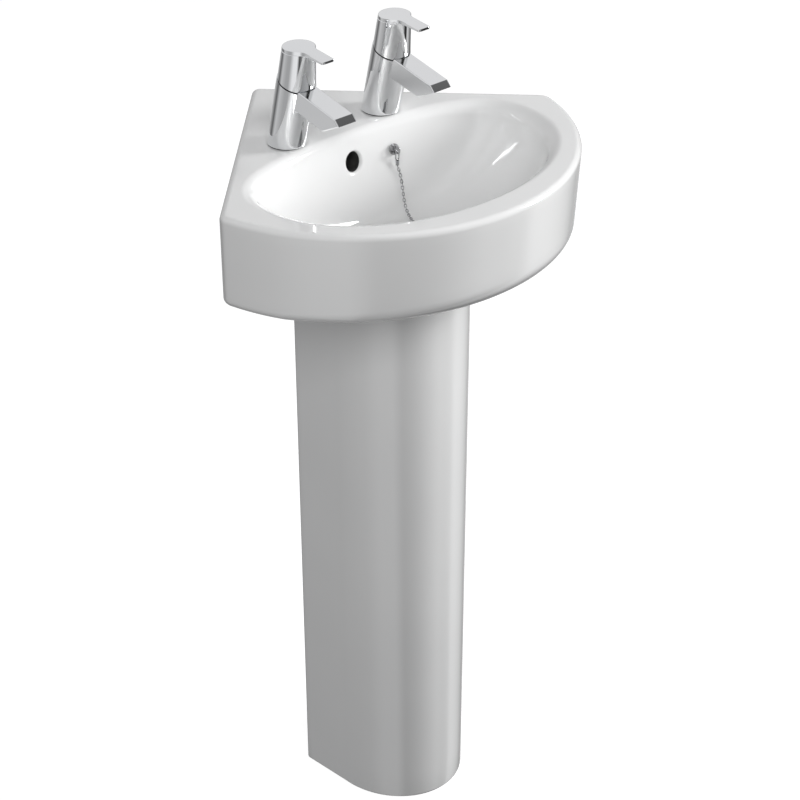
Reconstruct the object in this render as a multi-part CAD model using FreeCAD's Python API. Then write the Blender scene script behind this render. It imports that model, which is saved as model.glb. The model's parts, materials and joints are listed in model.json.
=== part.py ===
import FreeCAD, Part
import math
import os

# Corner hand basin on a full pedestal, with two leaning quarter-turn lever taps.
# Units are millimetres. +Z is up and the basin faces -Y, so the corner of the two
# walls that it fits into is at +Y. The origin is on the floor, in the middle of the
# object's box. "out" is the distance from the wall corner, measured along the floor
# towards the front on the line that halves the corner.

# ---- driving dimensions: basin ----
RIM_HEIGHT = 850.0
CORNER_TO_FRONT = 445.0
FRONT_RADIUS = 252.0
END_RADIUS = 17.0
BACK_RADIUS = 10.0
RIM_EDGE_RADIUS = 7.0
RIM_SETBACK = 0.44
SKIRT_HEIGHT = 114.0
SKIRT_DRAFT = 7.0
SKIRT_EDGE_RADIUS = 28.0
SKIRT_EDGE_BITE = 0.3
CERAMIC = 9.5
DECK_THICKNESS = 13.0
BACK_OPENING_OUT = 176.0
DUCT_BACK = 152.0
DUCT_HALF_WIDTH = 21.0
DUCT_WALL = 7.0

BOWL_DEPTH = 106.0
BOWL_OUT = 265.0
BOWL_HALF_WIDTH = 187.0
BOWL_FRONT = 139.0
BOWL_BACK = 87.0
BOWL_BACK_POWER = 2.7
BOWL_EDGE_RADIUS = 8.0
BOWL_FLOOR_RADIUS = 38.0
WASTE_OUT = 250.0

# ---- driving dimensions: pedestal ----
PEDESTAL_FRONT = 335.0
PEDESTAL_BACK = 178.0
PEDESTAL_HALF_WIDTH = 82.0
PEDESTAL_NOSE = 92.0
PEDESTAL_SPLAY = math.radians(3.8)
PEDESTAL_TAPER = 0.078
PEDESTAL_TAPER_HEIGHT = 650.0
PEDESTAL_WALL = 10.0
PEDESTAL_BASE_EDGE = 4.0
PEDESTAL_GASKET = 2.0
FOOT_THICKNESS = 14.0
FOOT_LEDGE = 26.0
FOOT_SCREW_RADIUS = 4.0
FOOT_SCREW_X = 58.0
FOOT_SCREW_OUT = 215.0

# ---- driving dimensions: holes in the basin ----
TAP_OUT = 149.0
TAP_X = 70.5
TAP_HOLE_RADIUS = 14.5
WALL_BOLT_ALONG = (140.0, 200.0)
WALL_BOLT_RADIUS = 7.0
WALL_BOLT_DROP = 65.0
WALL_PAD_ALONG = (90.0, 300.0)
WALL_PAD_DROP = (15.0, 100.0)
WALL_PAD_PROUD = 0.5
OVERFLOW_DROP = 35.0
OVERFLOW_WIDTH = 21.0
OVERFLOW_HEIGHT = 24.0
STAY_X = 58.0
STAY_HOLE_RADIUS = 4.0

# ---- driving dimensions: taps, "forward" is towards the bowl ----
BASE_RADIUS = 22.6
BASE_SEAL = 1.5
SEAM_FORWARD = 19.3
SEAM_HEIGHT = 81.1
TURN_LEAN = math.radians(22.0)
SEAM_GAP = 1.0
HANDLE_RADIUS = 22.0
TOP_FORWARD = 24.7
TOP_HEIGHT = 125.0
TOP_RADIUS = 18.8
LEVER_REACH = 75.0
LEVER_WIDTH = 18.5
LEVER_THICKNESS = 5.0
SPOUT_WIDTH = 27.0
TAIL_RADIUS = 10.48
TAIL_BORE = 7.0
TAIL_BELOW_DECK = 55.0
TAIL_COLLAR_RADIUS = 11.0
TAIL_COLLAR_TOP = 14.0
SPOUT_ROOT_TOP = (10.0, 82.4)
SPOUT_TIP = (99.0, 64.5)
SPOUT_LIP = (105.5, 57.5)
SPOUT_HEEL = (78.0, 43.0)
SPOUT_ROOT_LOW = (15.0, 56.0)
SPOUT_EDGE = 1.5
AERATOR_RADIUS = 8.5
CARTRIDGE_RADIUS = 9.4
CARTRIDGE_DEPTH = 39.5
CHAMBER_RADIUS = 7.6
DISC_TOP = -33.0
SPINDLE_TOP = 28.0
HANDLE_POCKET_RADIUS = 13.0
HANDLE_POCKET_TOP = 17.0
GRUB_HEIGHT = 23.0
GRUB_RADIUS = 2.0
GRUB_LENGTH = 8.0
SPINDLE_RADIUS = 3.97
RUNNING_CLEARANCE = 0.06
SEAT_CLEARANCE = 0.05

# ---- driving dimensions: waste, plug and trap ----
FLANGE_RADIUS = 31.5
FLANGE_RECESS = 4.0
FLANGE_THICKNESS = 2.5
WASTE_HOLE_RADIUS = 22.5
WASTE_THREAD_RADIUS = 20.95
WASTE_BORE = 16.5
WASTE_LENGTH = 72.0
BOSS_RADIUS = 36.0
BOSS_DROP = 20.0
PLUG_TOP_RADIUS = 18.8
PLUG_LOW_RADIUS = 17.2
PLUG_HEIGHT = 11.0
TRAP_OUTLET_HEIGHT = 640.0
TRAP_CAP_RADIUS = 34.0
PIPE_RADIUS = 17.3
PIPE_WALL = 1.9
PIPE_END_OUT = 48.0
PIPE_MARK = 26.0
PLUG_EYE_HEIGHT = 7.0
PLUG_EYE_RADIUS = 4.0
PLUG_LINK_RADIUS = 3.2
PLUG_LINK_REACH = 5.5
EYE_WIRE = 0.9
STAY_EYE_REACH = 8.6
STAY_EYE_RADIUS = 4.2
LINK_WIRE = 0.65
LINK_HALF_WIDTH = 2.4
LINK_STRAIGHT = 5.0
COUPLING_RADIUS = 2.0
COUPLING_LENGTH = 6.0
COUPLING_GAP = 0.7
CHAIN_DIAMETER = 3.4
CHAIN_ARC_SHARE = 0.45
# the chain's route as (x, out, height): down the bowl's wall, along its floor past the
# waste, and round to the plug's eye
CHAIN_ROUTE = (
    (60.0, 194.6, 787.0),
    (59.5, 198.4, 775.5),
    (57.0, 203.2, 765.5),
    (53.5, 209.5, 757.0),
    (49.5, 217.8, 750.8),
    (45.0, 228.0, 747.8),
    (40.5, 240.0, 746.8),
    (37.5, 252.5, 746.6),
    (36.0, 265.5, 746.7),
    (31.5, 277.5, 747.0),
    (22.0, 286.0, 747.3),
    (10.5, 287.5, 747.2),
    (2.0, 281.0, 747.2),
    (-0.5, 271.0, 748.4),
    (0.0, 261.0, 750.4),
)
INLET_PIPE_RADIUS = 17.0
INLET_WASHER = 2.5
TRAP_DIP_LOW = 560.0
BOTTLE_BORE = 30.0
BOTTLE_SEAL = 2.0
BOTTLE_HEIGHT = 84.0
BOTTLE_RIBS = 24
BRANCH_RADIUS = 21.0
BRANCH_REACH = 56.0
NUT_RIBS = 18

# ---- worked-out places ----
ROOT2 = math.sqrt(2.0)
BACK_OUT = BACK_RADIUS * (ROOT2 - 1.0)
FRONT_OUT = CORNER_TO_FRONT - RIM_SETBACK
CORNER_Y = (FRONT_OUT + BACK_OUT) / 2.0
SKIRT_BOTTOM = RIM_HEIGHT - SKIRT_HEIGHT
PEDESTAL_TOP = SKIRT_BOTTOM - PEDESTAL_GASKET
BOWL_FLOOR = RIM_HEIGHT - BOWL_DEPTH
BOSS_BOTTOM = SKIRT_BOTTOM - BOSS_DROP
UP = FreeCAD.Vector(0, 0, 1)


def place(x, out, z):
    """A point given by its side offset, its distance out from the wall corner and its height."""
    return FreeCAD.Vector(x, CORNER_Y - out, z)


def cylinder(radius, low, high, x=0.0, out=0.0):
    return Part.makeCylinder(radius, high - low, place(x, out, low))


def ring(outer, inner, low, high, x=0.0, out=0.0):
    return cylinder(outer, low, high, x, out).cut(cylinder(inner, low - 1.0, high + 1.0, x, out))


def hexagon(across_flats, low, high, x=0.0, out=0.0):
    centre = place(x, out, low)
    corner = across_flats / math.sqrt(3.0)
    points = []
    for side in range(7):
        angle = math.radians(60.0 * side)
        points.append(centre + FreeCAD.Vector(corner * math.cos(angle), corner * math.sin(angle), 0))
    face = Part.Face(Part.makePolygon(points))
    return face.extrude(FreeCAD.Vector(0, 0, high - low))


def box(x_low, x_high, out_low, out_high, low, high):
    corner = FreeCAD.Vector(x_low, CORNER_Y - out_high, low)
    return Part.makeBox(x_high - x_low, out_high - out_low, high - low, corner)


def union(shapes):
    result = shapes[0]
    for shape in shapes[1:]:
        result = result.fuse(shape)
    return result.removeSplitter()


def write(name, shape):
    shape.exportStep("parts/" + name + ".step")
    low = shape.BoundBox
    print("%-26s solids %d valid %s volume %.1f cm3 z %.1f to %.1f" % (
        name, len(shape.Solids), shape.isValid(), shape.Volume / 1000.0, low.ZMin, low.ZMax))


# ======== basin ========

def basin_outline(wall_inset, front_inset, height):
    """Plan outline: two walls at a right angle, a round front and rounded ends."""
    back = max(BACK_RADIUS - wall_inset, 3.0)
    end = END_RADIUS - min(wall_inset, front_inset)
    arc_out = CORNER_TO_FRONT - FRONT_RADIUS
    front = FRONT_RADIUS - front_inset
    corner = wall_inset * ROOT2
    # the end radius touches the wall line and the inside of the front arc
    half = end / ROOT2
    shift = corner + half - arc_out
    spread = shift - half
    rest = half ** 2 + shift ** 2 - (front - end) ** 2
    along = (-spread + math.sqrt(spread ** 2 - 2.0 * rest)) / 2.0
    end_x = along - half
    end_out = along + corner + half
    reach = front / (front - end)
    arc_x = end_x * reach
    arc_far = arc_out + (end_out - arc_out) * reach
    wall_angle = math.radians(-45.0)
    front_angle = math.atan2(arc_far - end_out, arc_x - end_x)
    middle = (wall_angle + front_angle) / 2.0
    mid_x = end_x + end * math.cos(middle)
    mid_out = end_out + end * math.sin(middle)
    back_x = back / ROOT2

    def at(x, out):
        return place(x, out, height)

    wall_end = along
    edges = [
        Part.LineSegment(at(back_x, corner + back_x), at(wall_end, corner + wall_end)),
        Part.Arc(at(wall_end, corner + wall_end), at(mid_x, mid_out), at(arc_x, arc_far)),
        Part.Arc(at(arc_x, arc_far), at(0, arc_out + front), at(-arc_x, arc_far)),
        Part.Arc(at(-arc_x, arc_far), at(-mid_x, mid_out), at(-wall_end, corner + wall_end)),
        Part.LineSegment(at(-wall_end, corner + wall_end), at(-back_x, corner + back_x)),
        Part.Arc(at(-back_x, corner + back_x), at(0, corner + back * (ROOT2 - 1.0)),
                 at(back_x, corner + back_x)),
    ]
    return Part.Wire([edge.toShape() for edge in edges])


def bowl_section(depth, grow):
    """One level of the bowl: an ellipse in front, a fuller curve behind, round at the floor."""
    share = min(depth / BOWL_DEPTH, 1.0)
    side = math.sqrt(1.0 - share ** 1.6)
    front = math.sqrt(1.0 - share ** 2.0)
    back = math.sqrt(1.0 - share ** 1.4)
    half_width = BOWL_FLOOR_RADIUS + (BOWL_HALF_WIDTH - BOWL_FLOOR_RADIUS) * side + grow
    reach_front = BOWL_FLOOR_RADIUS + (BOWL_FRONT - BOWL_FLOOR_RADIUS) * front + grow
    reach_back = BOWL_FLOOR_RADIUS + (BOWL_BACK - BOWL_FLOOR_RADIUS) * back + grow
    centre = WASTE_OUT + (BOWL_OUT - WASTE_OUT) * front
    power = 2.0 + (BOWL_BACK_POWER - 2.0) * back
    points = []
    steps = 48
    for step in range(steps):
        angle = 2.0 * math.pi * step / steps
        across = math.cos(angle)
        along = math.sin(angle)
        if along >= 0.0:
            x = half_width * across
            out = centre + reach_front * along
        else:
            x = half_width * math.copysign(abs(across) ** (2.0 / power), across)
            out = centre - reach_back * abs(along) ** (2.0 / power)
        points.append(place(x, out, RIM_HEIGHT - depth))
    curve = Part.BSplineCurve()
    curve.interpolate(Points=points, PeriodicFlag=True)
    return Part.Wire([curve.toShape()])


def bowl_form(grow, top_depth):
    """The bowl as a solid, grown sideways by the ceramic's thickness for its outside."""
    shares = [0.0, 0.14, 0.30, 0.46, 0.62, 0.76, 0.87, 0.95, 0.99, 1.0]
    wires = [bowl_section(share * BOWL_DEPTH, grow) for share in shares]
    form = Part.makeLoft(wires, True, False)
    if top_depth > 0.0:
        return form.cut(box(-300, 300, 0, 500, RIM_HEIGHT - top_depth, RIM_HEIGHT + 10.0))
    return form


def bowl_wall_out(drop):
    """How far out the middle of the bowl's back wall is, at a depth below the rim."""
    share = drop / BOWL_DEPTH
    centre = WASTE_OUT + (BOWL_OUT - WASTE_OUT) * math.sqrt(1.0 - share ** 2.0)
    back = math.sqrt(1.0 - share ** 1.4)
    return centre - BOWL_FLOOR_RADIUS - (BOWL_BACK - BOWL_FLOOR_RADIUS) * back


def skirt_corner_cut():
    """The ring that is taken off to round the skirt's front lower edge."""
    arc_out = CORNER_TO_FRONT - FRONT_RADIUS
    lean = math.atan2(SKIRT_DRAFT, SKIRT_HEIGHT)
    radius = SKIRT_EDGE_RADIUS
    bite = SKIRT_EDGE_BITE
    foot = FRONT_RADIUS - SKIRT_DRAFT
    centre_z = SKIRT_BOTTOM + radius + bite
    centre_r = foot + (centre_z - SKIRT_BOTTOM) * math.tan(lean) - radius / math.cos(lean) - bite
    wall_r = centre_r + radius * math.cos(lean)
    wall_z = centre_z - radius * math.sin(lean)
    mid_angle = math.radians(-45.0)

    def at(r, z):
        return place(r, arc_out, z)

    edges = [
        Part.Arc(at(centre_r, centre_z - radius),
                 at(centre_r + radius * math.cos(mid_angle), centre_z + radius * math.sin(mid_angle)),
                 at(wall_r, wall_z)).toShape(),
        Part.makeLine(at(wall_r, wall_z), at(wall_r + 20.0, wall_z)),
        Part.makeLine(at(wall_r + 20.0, wall_z), at(wall_r + 20.0, SKIRT_BOTTOM - 10.0)),
        Part.makeLine(at(wall_r + 20.0, SKIRT_BOTTOM - 10.0), at(centre_r, SKIRT_BOTTOM - 10.0)),
        Part.makeLine(at(centre_r, SKIRT_BOTTOM - 10.0), at(centre_r, centre_z - radius)),
    ]
    face = Part.Face(Part.Wire(edges))
    return face.revolve(place(0, arc_out, 0), UP, 360.0)


def wall_point(side, along, height):
    """A point on a back face, by its distance from the corner; side is +1 for the right wall."""
    return place(side * along / ROOT2, along / ROOT2, height)


def wall_normal(side):
    return FreeCAD.Vector(side / ROOT2, 1.0 / ROOT2, 0)


def wall_pad(side):
    """The ground flat that bears on the wall, standing a little proud of the back face."""
    start, stop = WALL_PAD_ALONG
    high_drop, low_drop = WALL_PAD_DROP
    low = RIM_HEIGHT - low_drop
    inside = wall_normal(side) * (-CERAMIC / 2.0)
    outside = wall_normal(side) * WALL_PAD_PROUD
    corners = [wall_point(side, start, low) + inside, wall_point(side, stop, low) + inside,
               wall_point(side, stop, low) + outside, wall_point(side, start, low) + outside]
    face = Part.Face(Part.makePolygon(corners + [corners[0]]))
    return face.extrude(FreeCAD.Vector(0, 0, low_drop - high_drop))


def wall_bolt_holes(side):
    inward = wall_normal(side) * -1.0
    holes = []
    for along in WALL_BOLT_ALONG:
        start = wall_point(side, along, RIM_HEIGHT - WALL_BOLT_DROP)
        holes.append(Part.makeCylinder(WALL_BOLT_RADIUS, 3.0 * CERAMIC, start - inward * 2.0, inward))
    return holes


def overflow_bar(start):
    """An oval bar that cuts the overflow hole, running forwards into the bowl."""
    centre = place(0, start, RIM_HEIGHT - OVERFLOW_DROP)
    oval = Part.Ellipse(centre + FreeCAD.Vector(0, 0, OVERFLOW_HEIGHT / 2.0),
                        centre + FreeCAD.Vector(OVERFLOW_WIDTH / 2.0, 0, 0), centre)
    face = Part.Face(Part.Wire([oval.toShape()]))
    return face.extrude(FreeCAD.Vector(0, -60.0, 0))


def bowl_wall_point(x, drop):
    """A point of the bowl's back wall, from its side offset and its depth below the rim."""
    share = drop / BOWL_DEPTH
    half_width = BOWL_FLOOR_RADIUS + (BOWL_HALF_WIDTH - BOWL_FLOOR_RADIUS) * math.sqrt(1.0 - share ** 1.6)
    back = math.sqrt(1.0 - share ** 1.4)
    power = 2.0 + (BOWL_BACK_POWER - 2.0) * back
    reach = BOWL_FLOOR_RADIUS + (BOWL_BACK - BOWL_FLOOR_RADIUS) * back
    centre = WASTE_OUT + (BOWL_OUT - WASTE_OUT) * math.sqrt(1.0 - share ** 2.0)
    out = centre - reach * (1.0 - abs(x / half_width) ** power) ** (1.0 / power)
    return place(x, out, RIM_HEIGHT - drop)


def stay_axis():
    """Where the chain stay leaves the bowl's wall, and the wall's normal there."""
    point = bowl_wall_point(STAY_X, OVERFLOW_DROP)
    across = bowl_wall_point(STAY_X + 1.0, OVERFLOW_DROP) - bowl_wall_point(STAY_X - 1.0, OVERFLOW_DROP)
    down = bowl_wall_point(STAY_X, OVERFLOW_DROP + 1.0) - bowl_wall_point(STAY_X, OVERFLOW_DROP - 1.0)
    normal = down.cross(across)
    normal.normalize()
    return point, normal


def stay_cylinder(radius, low, high):
    """A round bar on the chain stay's axis, measured from the bowl's wall into the bowl."""
    point, normal = stay_axis()
    return Part.makeCylinder(radius, high - low, point + normal * low, normal)


def make_basin():
    block = Part.makeLoft([basin_outline(0, 0, RIM_HEIGHT),
                           basin_outline(0, SKIRT_DRAFT, SKIRT_BOTTOM)], True, True)
    block = block.cut(skirt_corner_cut())
    top_edges = [e for e in block.Edges if abs(e.BoundBox.ZMin - RIM_HEIGHT) < 0.01]
    block = block.makeFillet(RIM_EDGE_RADIUS, top_edges)
    # hollow between the skirt and the bowl, open underneath behind the bowl
    hollow_low = SKIRT_BOTTOM + CERAMIC
    draft_low = SKIRT_DRAFT * (1.0 - CERAMIC / SKIRT_HEIGHT)
    hollow = Part.makeLoft([basin_outline(CERAMIC, CERAMIC, RIM_HEIGHT - DECK_THICKNESS),
                            basin_outline(CERAMIC, CERAMIC + draft_low + 12.0, hollow_low)], True, True)
    back_open = Part.makeLoft([basin_outline(CERAMIC, CERAMIC, hollow_low + 1.0),
                               basin_outline(CERAMIC, CERAMIC, SKIRT_BOTTOM - 30.0)], True, True)
    back_open = back_open.common(box(-260, 260, 0, BACK_OPENING_OUT, SKIRT_BOTTOM - 30.0,
                                     hollow_low + 1.0))
    shell = bowl_form(CERAMIC, DECK_THICKNESS)
    duct_low = BOSS_BOTTOM + 4.0
    # ceramic around the waste and the overflow's duct, behind and under the bowl
    solid_core = [
        shell,
        cylinder(BOSS_RADIUS, BOSS_BOTTOM, BOWL_FLOOR, 0, WASTE_OUT),
        box(-DUCT_HALF_WIDTH, DUCT_HALF_WIDTH, DUCT_BACK, bowl_wall_out(OVERFLOW_DROP) + 4.0,
            duct_low, RIM_HEIGHT - DECK_THICKNESS),
        box(-DUCT_HALF_WIDTH, DUCT_HALF_WIDTH, DUCT_BACK, WASTE_OUT, duct_low, hollow_low),
    ]
    core = union(solid_core)
    body = block.cut(hollow.fuse(back_open)).fuse(core)
    body = body.cut(bowl_form(0.0, 0.0))
    inner_edges = [e for e in body.Edges
                   if abs(e.BoundBox.ZMin - RIM_HEIGHT) < 0.01 and abs(e.BoundBox.ZMax - RIM_HEIGHT) < 0.01
                   and e.BoundBox.XLength > 300.0 and e.BoundBox.YLength < 260.0]
    rim_edges = [e for e in inner_edges if e.BoundBox.YMin > CORNER_Y - BOWL_OUT - BOWL_FRONT - 3.0]
    body = body.makeFillet(BOWL_EDGE_RADIUS, rim_edges)
    # waste hole, flange recess, overflow hole and its duct
    duct_side = DUCT_HALF_WIDTH - DUCT_WALL
    duct_back = DUCT_BACK + DUCT_WALL
    duct_front = bowl_wall_out(OVERFLOW_DROP) - CERAMIC
    duct_top = RIM_HEIGHT - OVERFLOW_DROP + OVERFLOW_HEIGHT / 2.0
    duct_floor = duct_low + 6.0
    cuts = [
        cylinder(WASTE_HOLE_RADIUS, BOSS_BOTTOM - 5.0, BOWL_FLOOR + 5.0, 0, WASTE_OUT),
        cylinder(FLANGE_RADIUS + 1.0, BOWL_FLOOR - FLANGE_RECESS, BOWL_FLOOR + 5.0, 0, WASTE_OUT),
        overflow_bar(duct_back + 3.0),
        box(-duct_side, duct_side, duct_back, duct_front, duct_floor, duct_top),
        box(-duct_side, duct_side, duct_back, WASTE_OUT, duct_floor, duct_floor + 9.0),
        stay_cylinder(STAY_HOLE_RADIUS, -30.0, 20.0),
    ]
    for side in (-1.0, 1.0):
        cuts.append(cylinder(TAP_HOLE_RADIUS, RIM_HEIGHT - DECK_THICKNESS - 20.0, RIM_HEIGHT + 5.0,
                             side * TAP_X, TAP_OUT))
        body = body.fuse(wall_pad(side))
        cuts += wall_bolt_holes(side)
    for tool in cuts:
        body = body.cut(tool)
    return body


# ======== pedestal ========

def pedestal_outline(inset, height, back_out):
    """Plan outline: a half ellipse in front and straight sides that spread to the back."""
    grow = 1.0 + PEDESTAL_TAPER * height / PEDESTAL_TAPER_HEIGHT
    half_width = PEDESTAL_HALF_WIDTH * grow - inset
    shoulder = PEDESTAL_FRONT - PEDESTAL_NOSE
    back_x = half_width + (shoulder - back_out) * math.tan(PEDESTAL_SPLAY)
    centre = place(0, shoulder, height)
    nose = Part.Ellipse(place(0, PEDESTAL_FRONT - inset, height),
                        place(half_width, shoulder, height), centre)
    right = place(back_x, back_out, height)
    left = place(-back_x, back_out, height)
    edges = [
        Part.Arc(nose, -math.pi / 2.0, math.pi / 2.0).toShape(),
        Part.makeLine(place(half_width, shoulder, height), right),
        Part.makeLine(right, left),
        Part.makeLine(left, place(-half_width, shoulder, height)),
    ]
    return Part.Wire(Part.sortEdges(edges)[0])


def pedestal_form(inset, low, high, back_out):
    return Part.makeLoft([pedestal_outline(inset, low, back_out),
                          pedestal_outline(inset, high, back_out)], True, True)


def make_pedestal():
    column = pedestal_form(0, 0, PEDESTAL_TOP, PEDESTAL_BACK)
    back_y = CORNER_Y - PEDESTAL_BACK
    base_edges = [e for e in column.Edges
                  if e.BoundBox.ZMax < 0.01
                   and (e.BoundBox.YMax < back_y - 1.0 or e.BoundBox.XLength < 20.0)]
    column = column.makeFillet(PEDESTAL_BASE_EDGE, base_edges)
    column = column.cut(pedestal_form(PEDESTAL_WALL, FOOT_THICKNESS, PEDESTAL_TOP + 20.0,
                                      PEDESTAL_BACK - 20.0))
    column = column.cut(pedestal_form(PEDESTAL_WALL + FOOT_LEDGE, -5.0, FOOT_THICKNESS + 5.0,
                                      PEDESTAL_BACK - 20.0))
    for side in (-1.0, 1.0):
        column = column.cut(cylinder(FOOT_SCREW_RADIUS, -5.0, FOOT_THICKNESS + 5.0,
                                     side * FOOT_SCREW_X, FOOT_SCREW_OUT))
    return column


def make_pedestal_gasket():
    strip = pedestal_form(2.0, PEDESTAL_TOP, SKIRT_BOTTOM, PEDESTAL_BACK + 3.0)
    return strip.cut(pedestal_form(8.0, PEDESTAL_TOP - 1.0, SKIRT_BOTTOM + 1.0, PEDESTAL_BACK - 20.0))


# ======== taps ========
# A tap is made at its own origin, the middle of its base on the deck, with its spout
# along -Y, and is then moved to its hole. "s" is measured along the handle's turning
# axis, upwards from the seam between body and handle.

SEAM = FreeCAD.Vector(0, -SEAM_FORWARD, SEAM_HEIGHT)
TURN_AXIS = FreeCAD.Vector(0, -math.sin(TURN_LEAN), math.cos(TURN_LEAN))
FACE_AXIS = FreeCAD.Vector(0, -math.cos(TURN_LEAN), -math.sin(TURN_LEAN))


def turned(radius, low, high):
    """A round bar on the handle's turning axis."""
    return Part.makeCylinder(radius, high - low, SEAM + TURN_AXIS * low, TURN_AXIS)


def turned_ring(outer, inner, low, high):
    return turned(outer, low, high).cut(turned(inner, low - 1.0, high + 1.0))


def upright(radius, low, high):
    return Part.makeCylinder(radius, high - low, FreeCAD.Vector(0, 0, low))


def upright_ring(outer, inner, low, high):
    return upright(outer, low, high).cut(upright(inner, low - 1.0, high + 1.0))


def side_profile(points, width):
    """A plate cut from a side view: each point is (forward, height)."""
    corners = [FreeCAD.Vector(-width / 2.0, -forward, height) for forward, height in points]
    face = Part.Face(Part.makePolygon(corners + [corners[0]]))
    return face.extrude(FreeCAD.Vector(width, 0, 0))


def above_seam(low, reach):
    """A large block over the seam plane, used to trim the body square to the turning axis."""
    return turned(reach, low, low + 200.0)


def outlet_axis():
    """The middle of the spout's outlet face and the face's outward normal."""
    middle = FreeCAD.Vector(0, -(SPOUT_LIP[0] + SPOUT_HEEL[0]) / 2.0, (SPOUT_LIP[1] + SPOUT_HEEL[1]) / 2.0)
    along = FreeCAD.Vector(0, SPOUT_HEEL[0] - SPOUT_LIP[0], SPOUT_LIP[1] - SPOUT_HEEL[1])
    normal = FreeCAD.Vector(0, -along.z, along.y)
    normal.normalize()
    return middle, normal


def outlet_bar(radius, low, high):
    """A round bar on the outlet's axis, measured outwards from the outlet face."""
    middle, normal = outlet_axis()
    return Part.makeCylinder(radius, high - low, middle + normal * low, normal)


def make_tap_body():
    lean = FreeCAD.Vector(SEAM)
    lean.normalize()
    column = Part.makeCylinder(BASE_RADIUS, 140.0, lean * -20.0, lean)
    column = column.common(Part.makeBox(200, 200, 200, FreeCAD.Vector(-100, -100, BASE_SEAL)))
    column = column.cut(above_seam(0.0, 60.0))
    spout = side_profile([SPOUT_ROOT_TOP, SPOUT_TIP, SPOUT_LIP, SPOUT_HEEL, SPOUT_ROOT_LOW], SPOUT_WIDTH)
    long_edges = [e for e in spout.Edges if e.BoundBox.XLength < 0.01]
    spout = spout.makeFillet(SPOUT_EDGE, long_edges)
    spout = spout.cut(above_seam(0.0, HANDLE_RADIUS + 1.2))
    body = column.fuse(spout)
    inlet_top = 46.0
    passage_start = SEAM + TURN_AXIS * -20.0
    passage_end = FreeCAD.Vector(0, -86.0, 55.0)
    passage = Part.makeCylinder(5.0, (passage_end - passage_start).Length, passage_start,
                                passage_end - passage_start)
    for tool in (turned(CARTRIDGE_RADIUS + SEAT_CLEARANCE, -CARTRIDGE_DEPTH, 1.0),
                 upright(TAIL_BORE, 0.0, inlet_top),
                 upright(TAIL_COLLAR_RADIUS + SEAT_CLEARANCE, 0.0, TAIL_COLLAR_TOP),
                 passage,
                 outlet_bar(AERATOR_RADIUS + SEAT_CLEARANCE, -8.0, 5.0)):
        body = body.cut(tool)
    return body


def make_handle():
    low_circle = Part.Circle(SEAM + TURN_AXIS * SEAM_GAP, TURN_AXIS, HANDLE_RADIUS)
    top_circle = Part.Circle(FreeCAD.Vector(0, -TOP_FORWARD, TOP_HEIGHT), UP, TOP_RADIUS)
    cone = Part.makeLoft([Part.Wire([low_circle.toShape()]), Part.Wire([top_circle.toShape()])], True, True)
    lever = Part.makeBox(LEVER_WIDTH, LEVER_REACH - TOP_FORWARD, LEVER_THICKNESS,
                         FreeCAD.Vector(-LEVER_WIDTH / 2.0, -LEVER_REACH, TOP_HEIGHT - LEVER_THICKNESS))
    tip_edges = [e for e in lever.Edges
                 if e.BoundBox.ZLength > 1.0 and e.BoundBox.YMax < -LEVER_REACH + 0.1]
    lever = lever.makeFillet(2.0, tip_edges)
    handle = cone.fuse(lever).removeSplitter()
    back = FACE_AXIS * -1.0
    screw_hole = Part.makeCylinder(GRUB_RADIUS + SEAT_CLEARANCE, 40.0, SEAM + TURN_AXIS * GRUB_HEIGHT, back)
    for tool in (turned(HANDLE_POCKET_RADIUS, 0.0, HANDLE_POCKET_TOP),
                 turned(SPINDLE_RADIUS + SEAT_CLEARANCE, 0.0, SPINDLE_TOP + 1.0),
                 screw_hole):
        handle = handle.cut(tool)
    return handle


def make_grub_screw():
    back = FACE_AXIS * -1.0
    start = SEAM + TURN_AXIS * GRUB_HEIGHT + back * (SPINDLE_RADIUS + 0.1)
    screw = Part.makeCylinder(GRUB_RADIUS, GRUB_LENGTH, start, back)
    socket = Part.makeCylinder(1.0, 3.0, start + back * (GRUB_LENGTH - 2.5), back)
    return screw.cut(socket)


def make_headwork():
    lower = turned(CARTRIDGE_RADIUS, -CARTRIDGE_DEPTH, 0.0)
    flange = turned(12.0, 0.0, 2.5)
    hexagon_part = hexagon(19.5, 2.5, 9.0)
    hexagon_part.translate(place(0, 0, 0) * -1.0)
    hexagon_part.rotate(FreeCAD.Vector(0, 0, 0), FreeCAD.Vector(1, 0, 0), math.degrees(TURN_LEAN))
    hexagon_part.translate(SEAM)
    neck = turned(6.5, 9.0, 15.0)
    headwork = lower.fuse(flange).fuse(hexagon_part).fuse(neck).removeSplitter()
    port = Part.makeCylinder(4.0, 15.0, SEAM + TURN_AXIS * -20.0, FACE_AXIS)
    for tool in (turned(CHAMBER_RADIUS, -CARTRIDGE_DEPTH - 1.0, -6.0),
                 turned(6.0, -6.5, -3.0),
                 turned(SPINDLE_RADIUS + RUNNING_CLEARANCE, -4.0, 16.0),
                 port):
        headwork = headwork.cut(tool)
    return headwork


def make_valve_disc(radius, low, high):
    """A ceramic disc with one port on each side of its middle."""
    disc = turned(radius, low, high)
    for side in (-1.0, 1.0):
        start = SEAM + TURN_AXIS * (low - 1.0) + FreeCAD.Vector(side * 3.8, 0, 0)
        disc = disc.cut(Part.makeCylinder(2.4, high - low + 2.0, start, TURN_AXIS))
    return disc


def make_spindle():
    driver = turned(CHAMBER_RADIUS - 0.6, DISC_TOP + 0.1, DISC_TOP + 4.0)
    shaft = turned(SPINDLE_RADIUS, DISC_TOP + 3.0, SPINDLE_TOP)
    flat = Part.makeBox(10.0, 2.0, 6.0, FreeCAD.Vector(-5.0, SPINDLE_RADIUS - 1.0, SPINDLE_TOP - 6.0))
    flat.rotate(FreeCAD.Vector(0, 0, 0), FreeCAD.Vector(1, 0, 0), math.degrees(TURN_LEAN))
    flat.translate(SEAM)
    return driver.fuse(shaft).removeSplitter().cut(flat)


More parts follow.
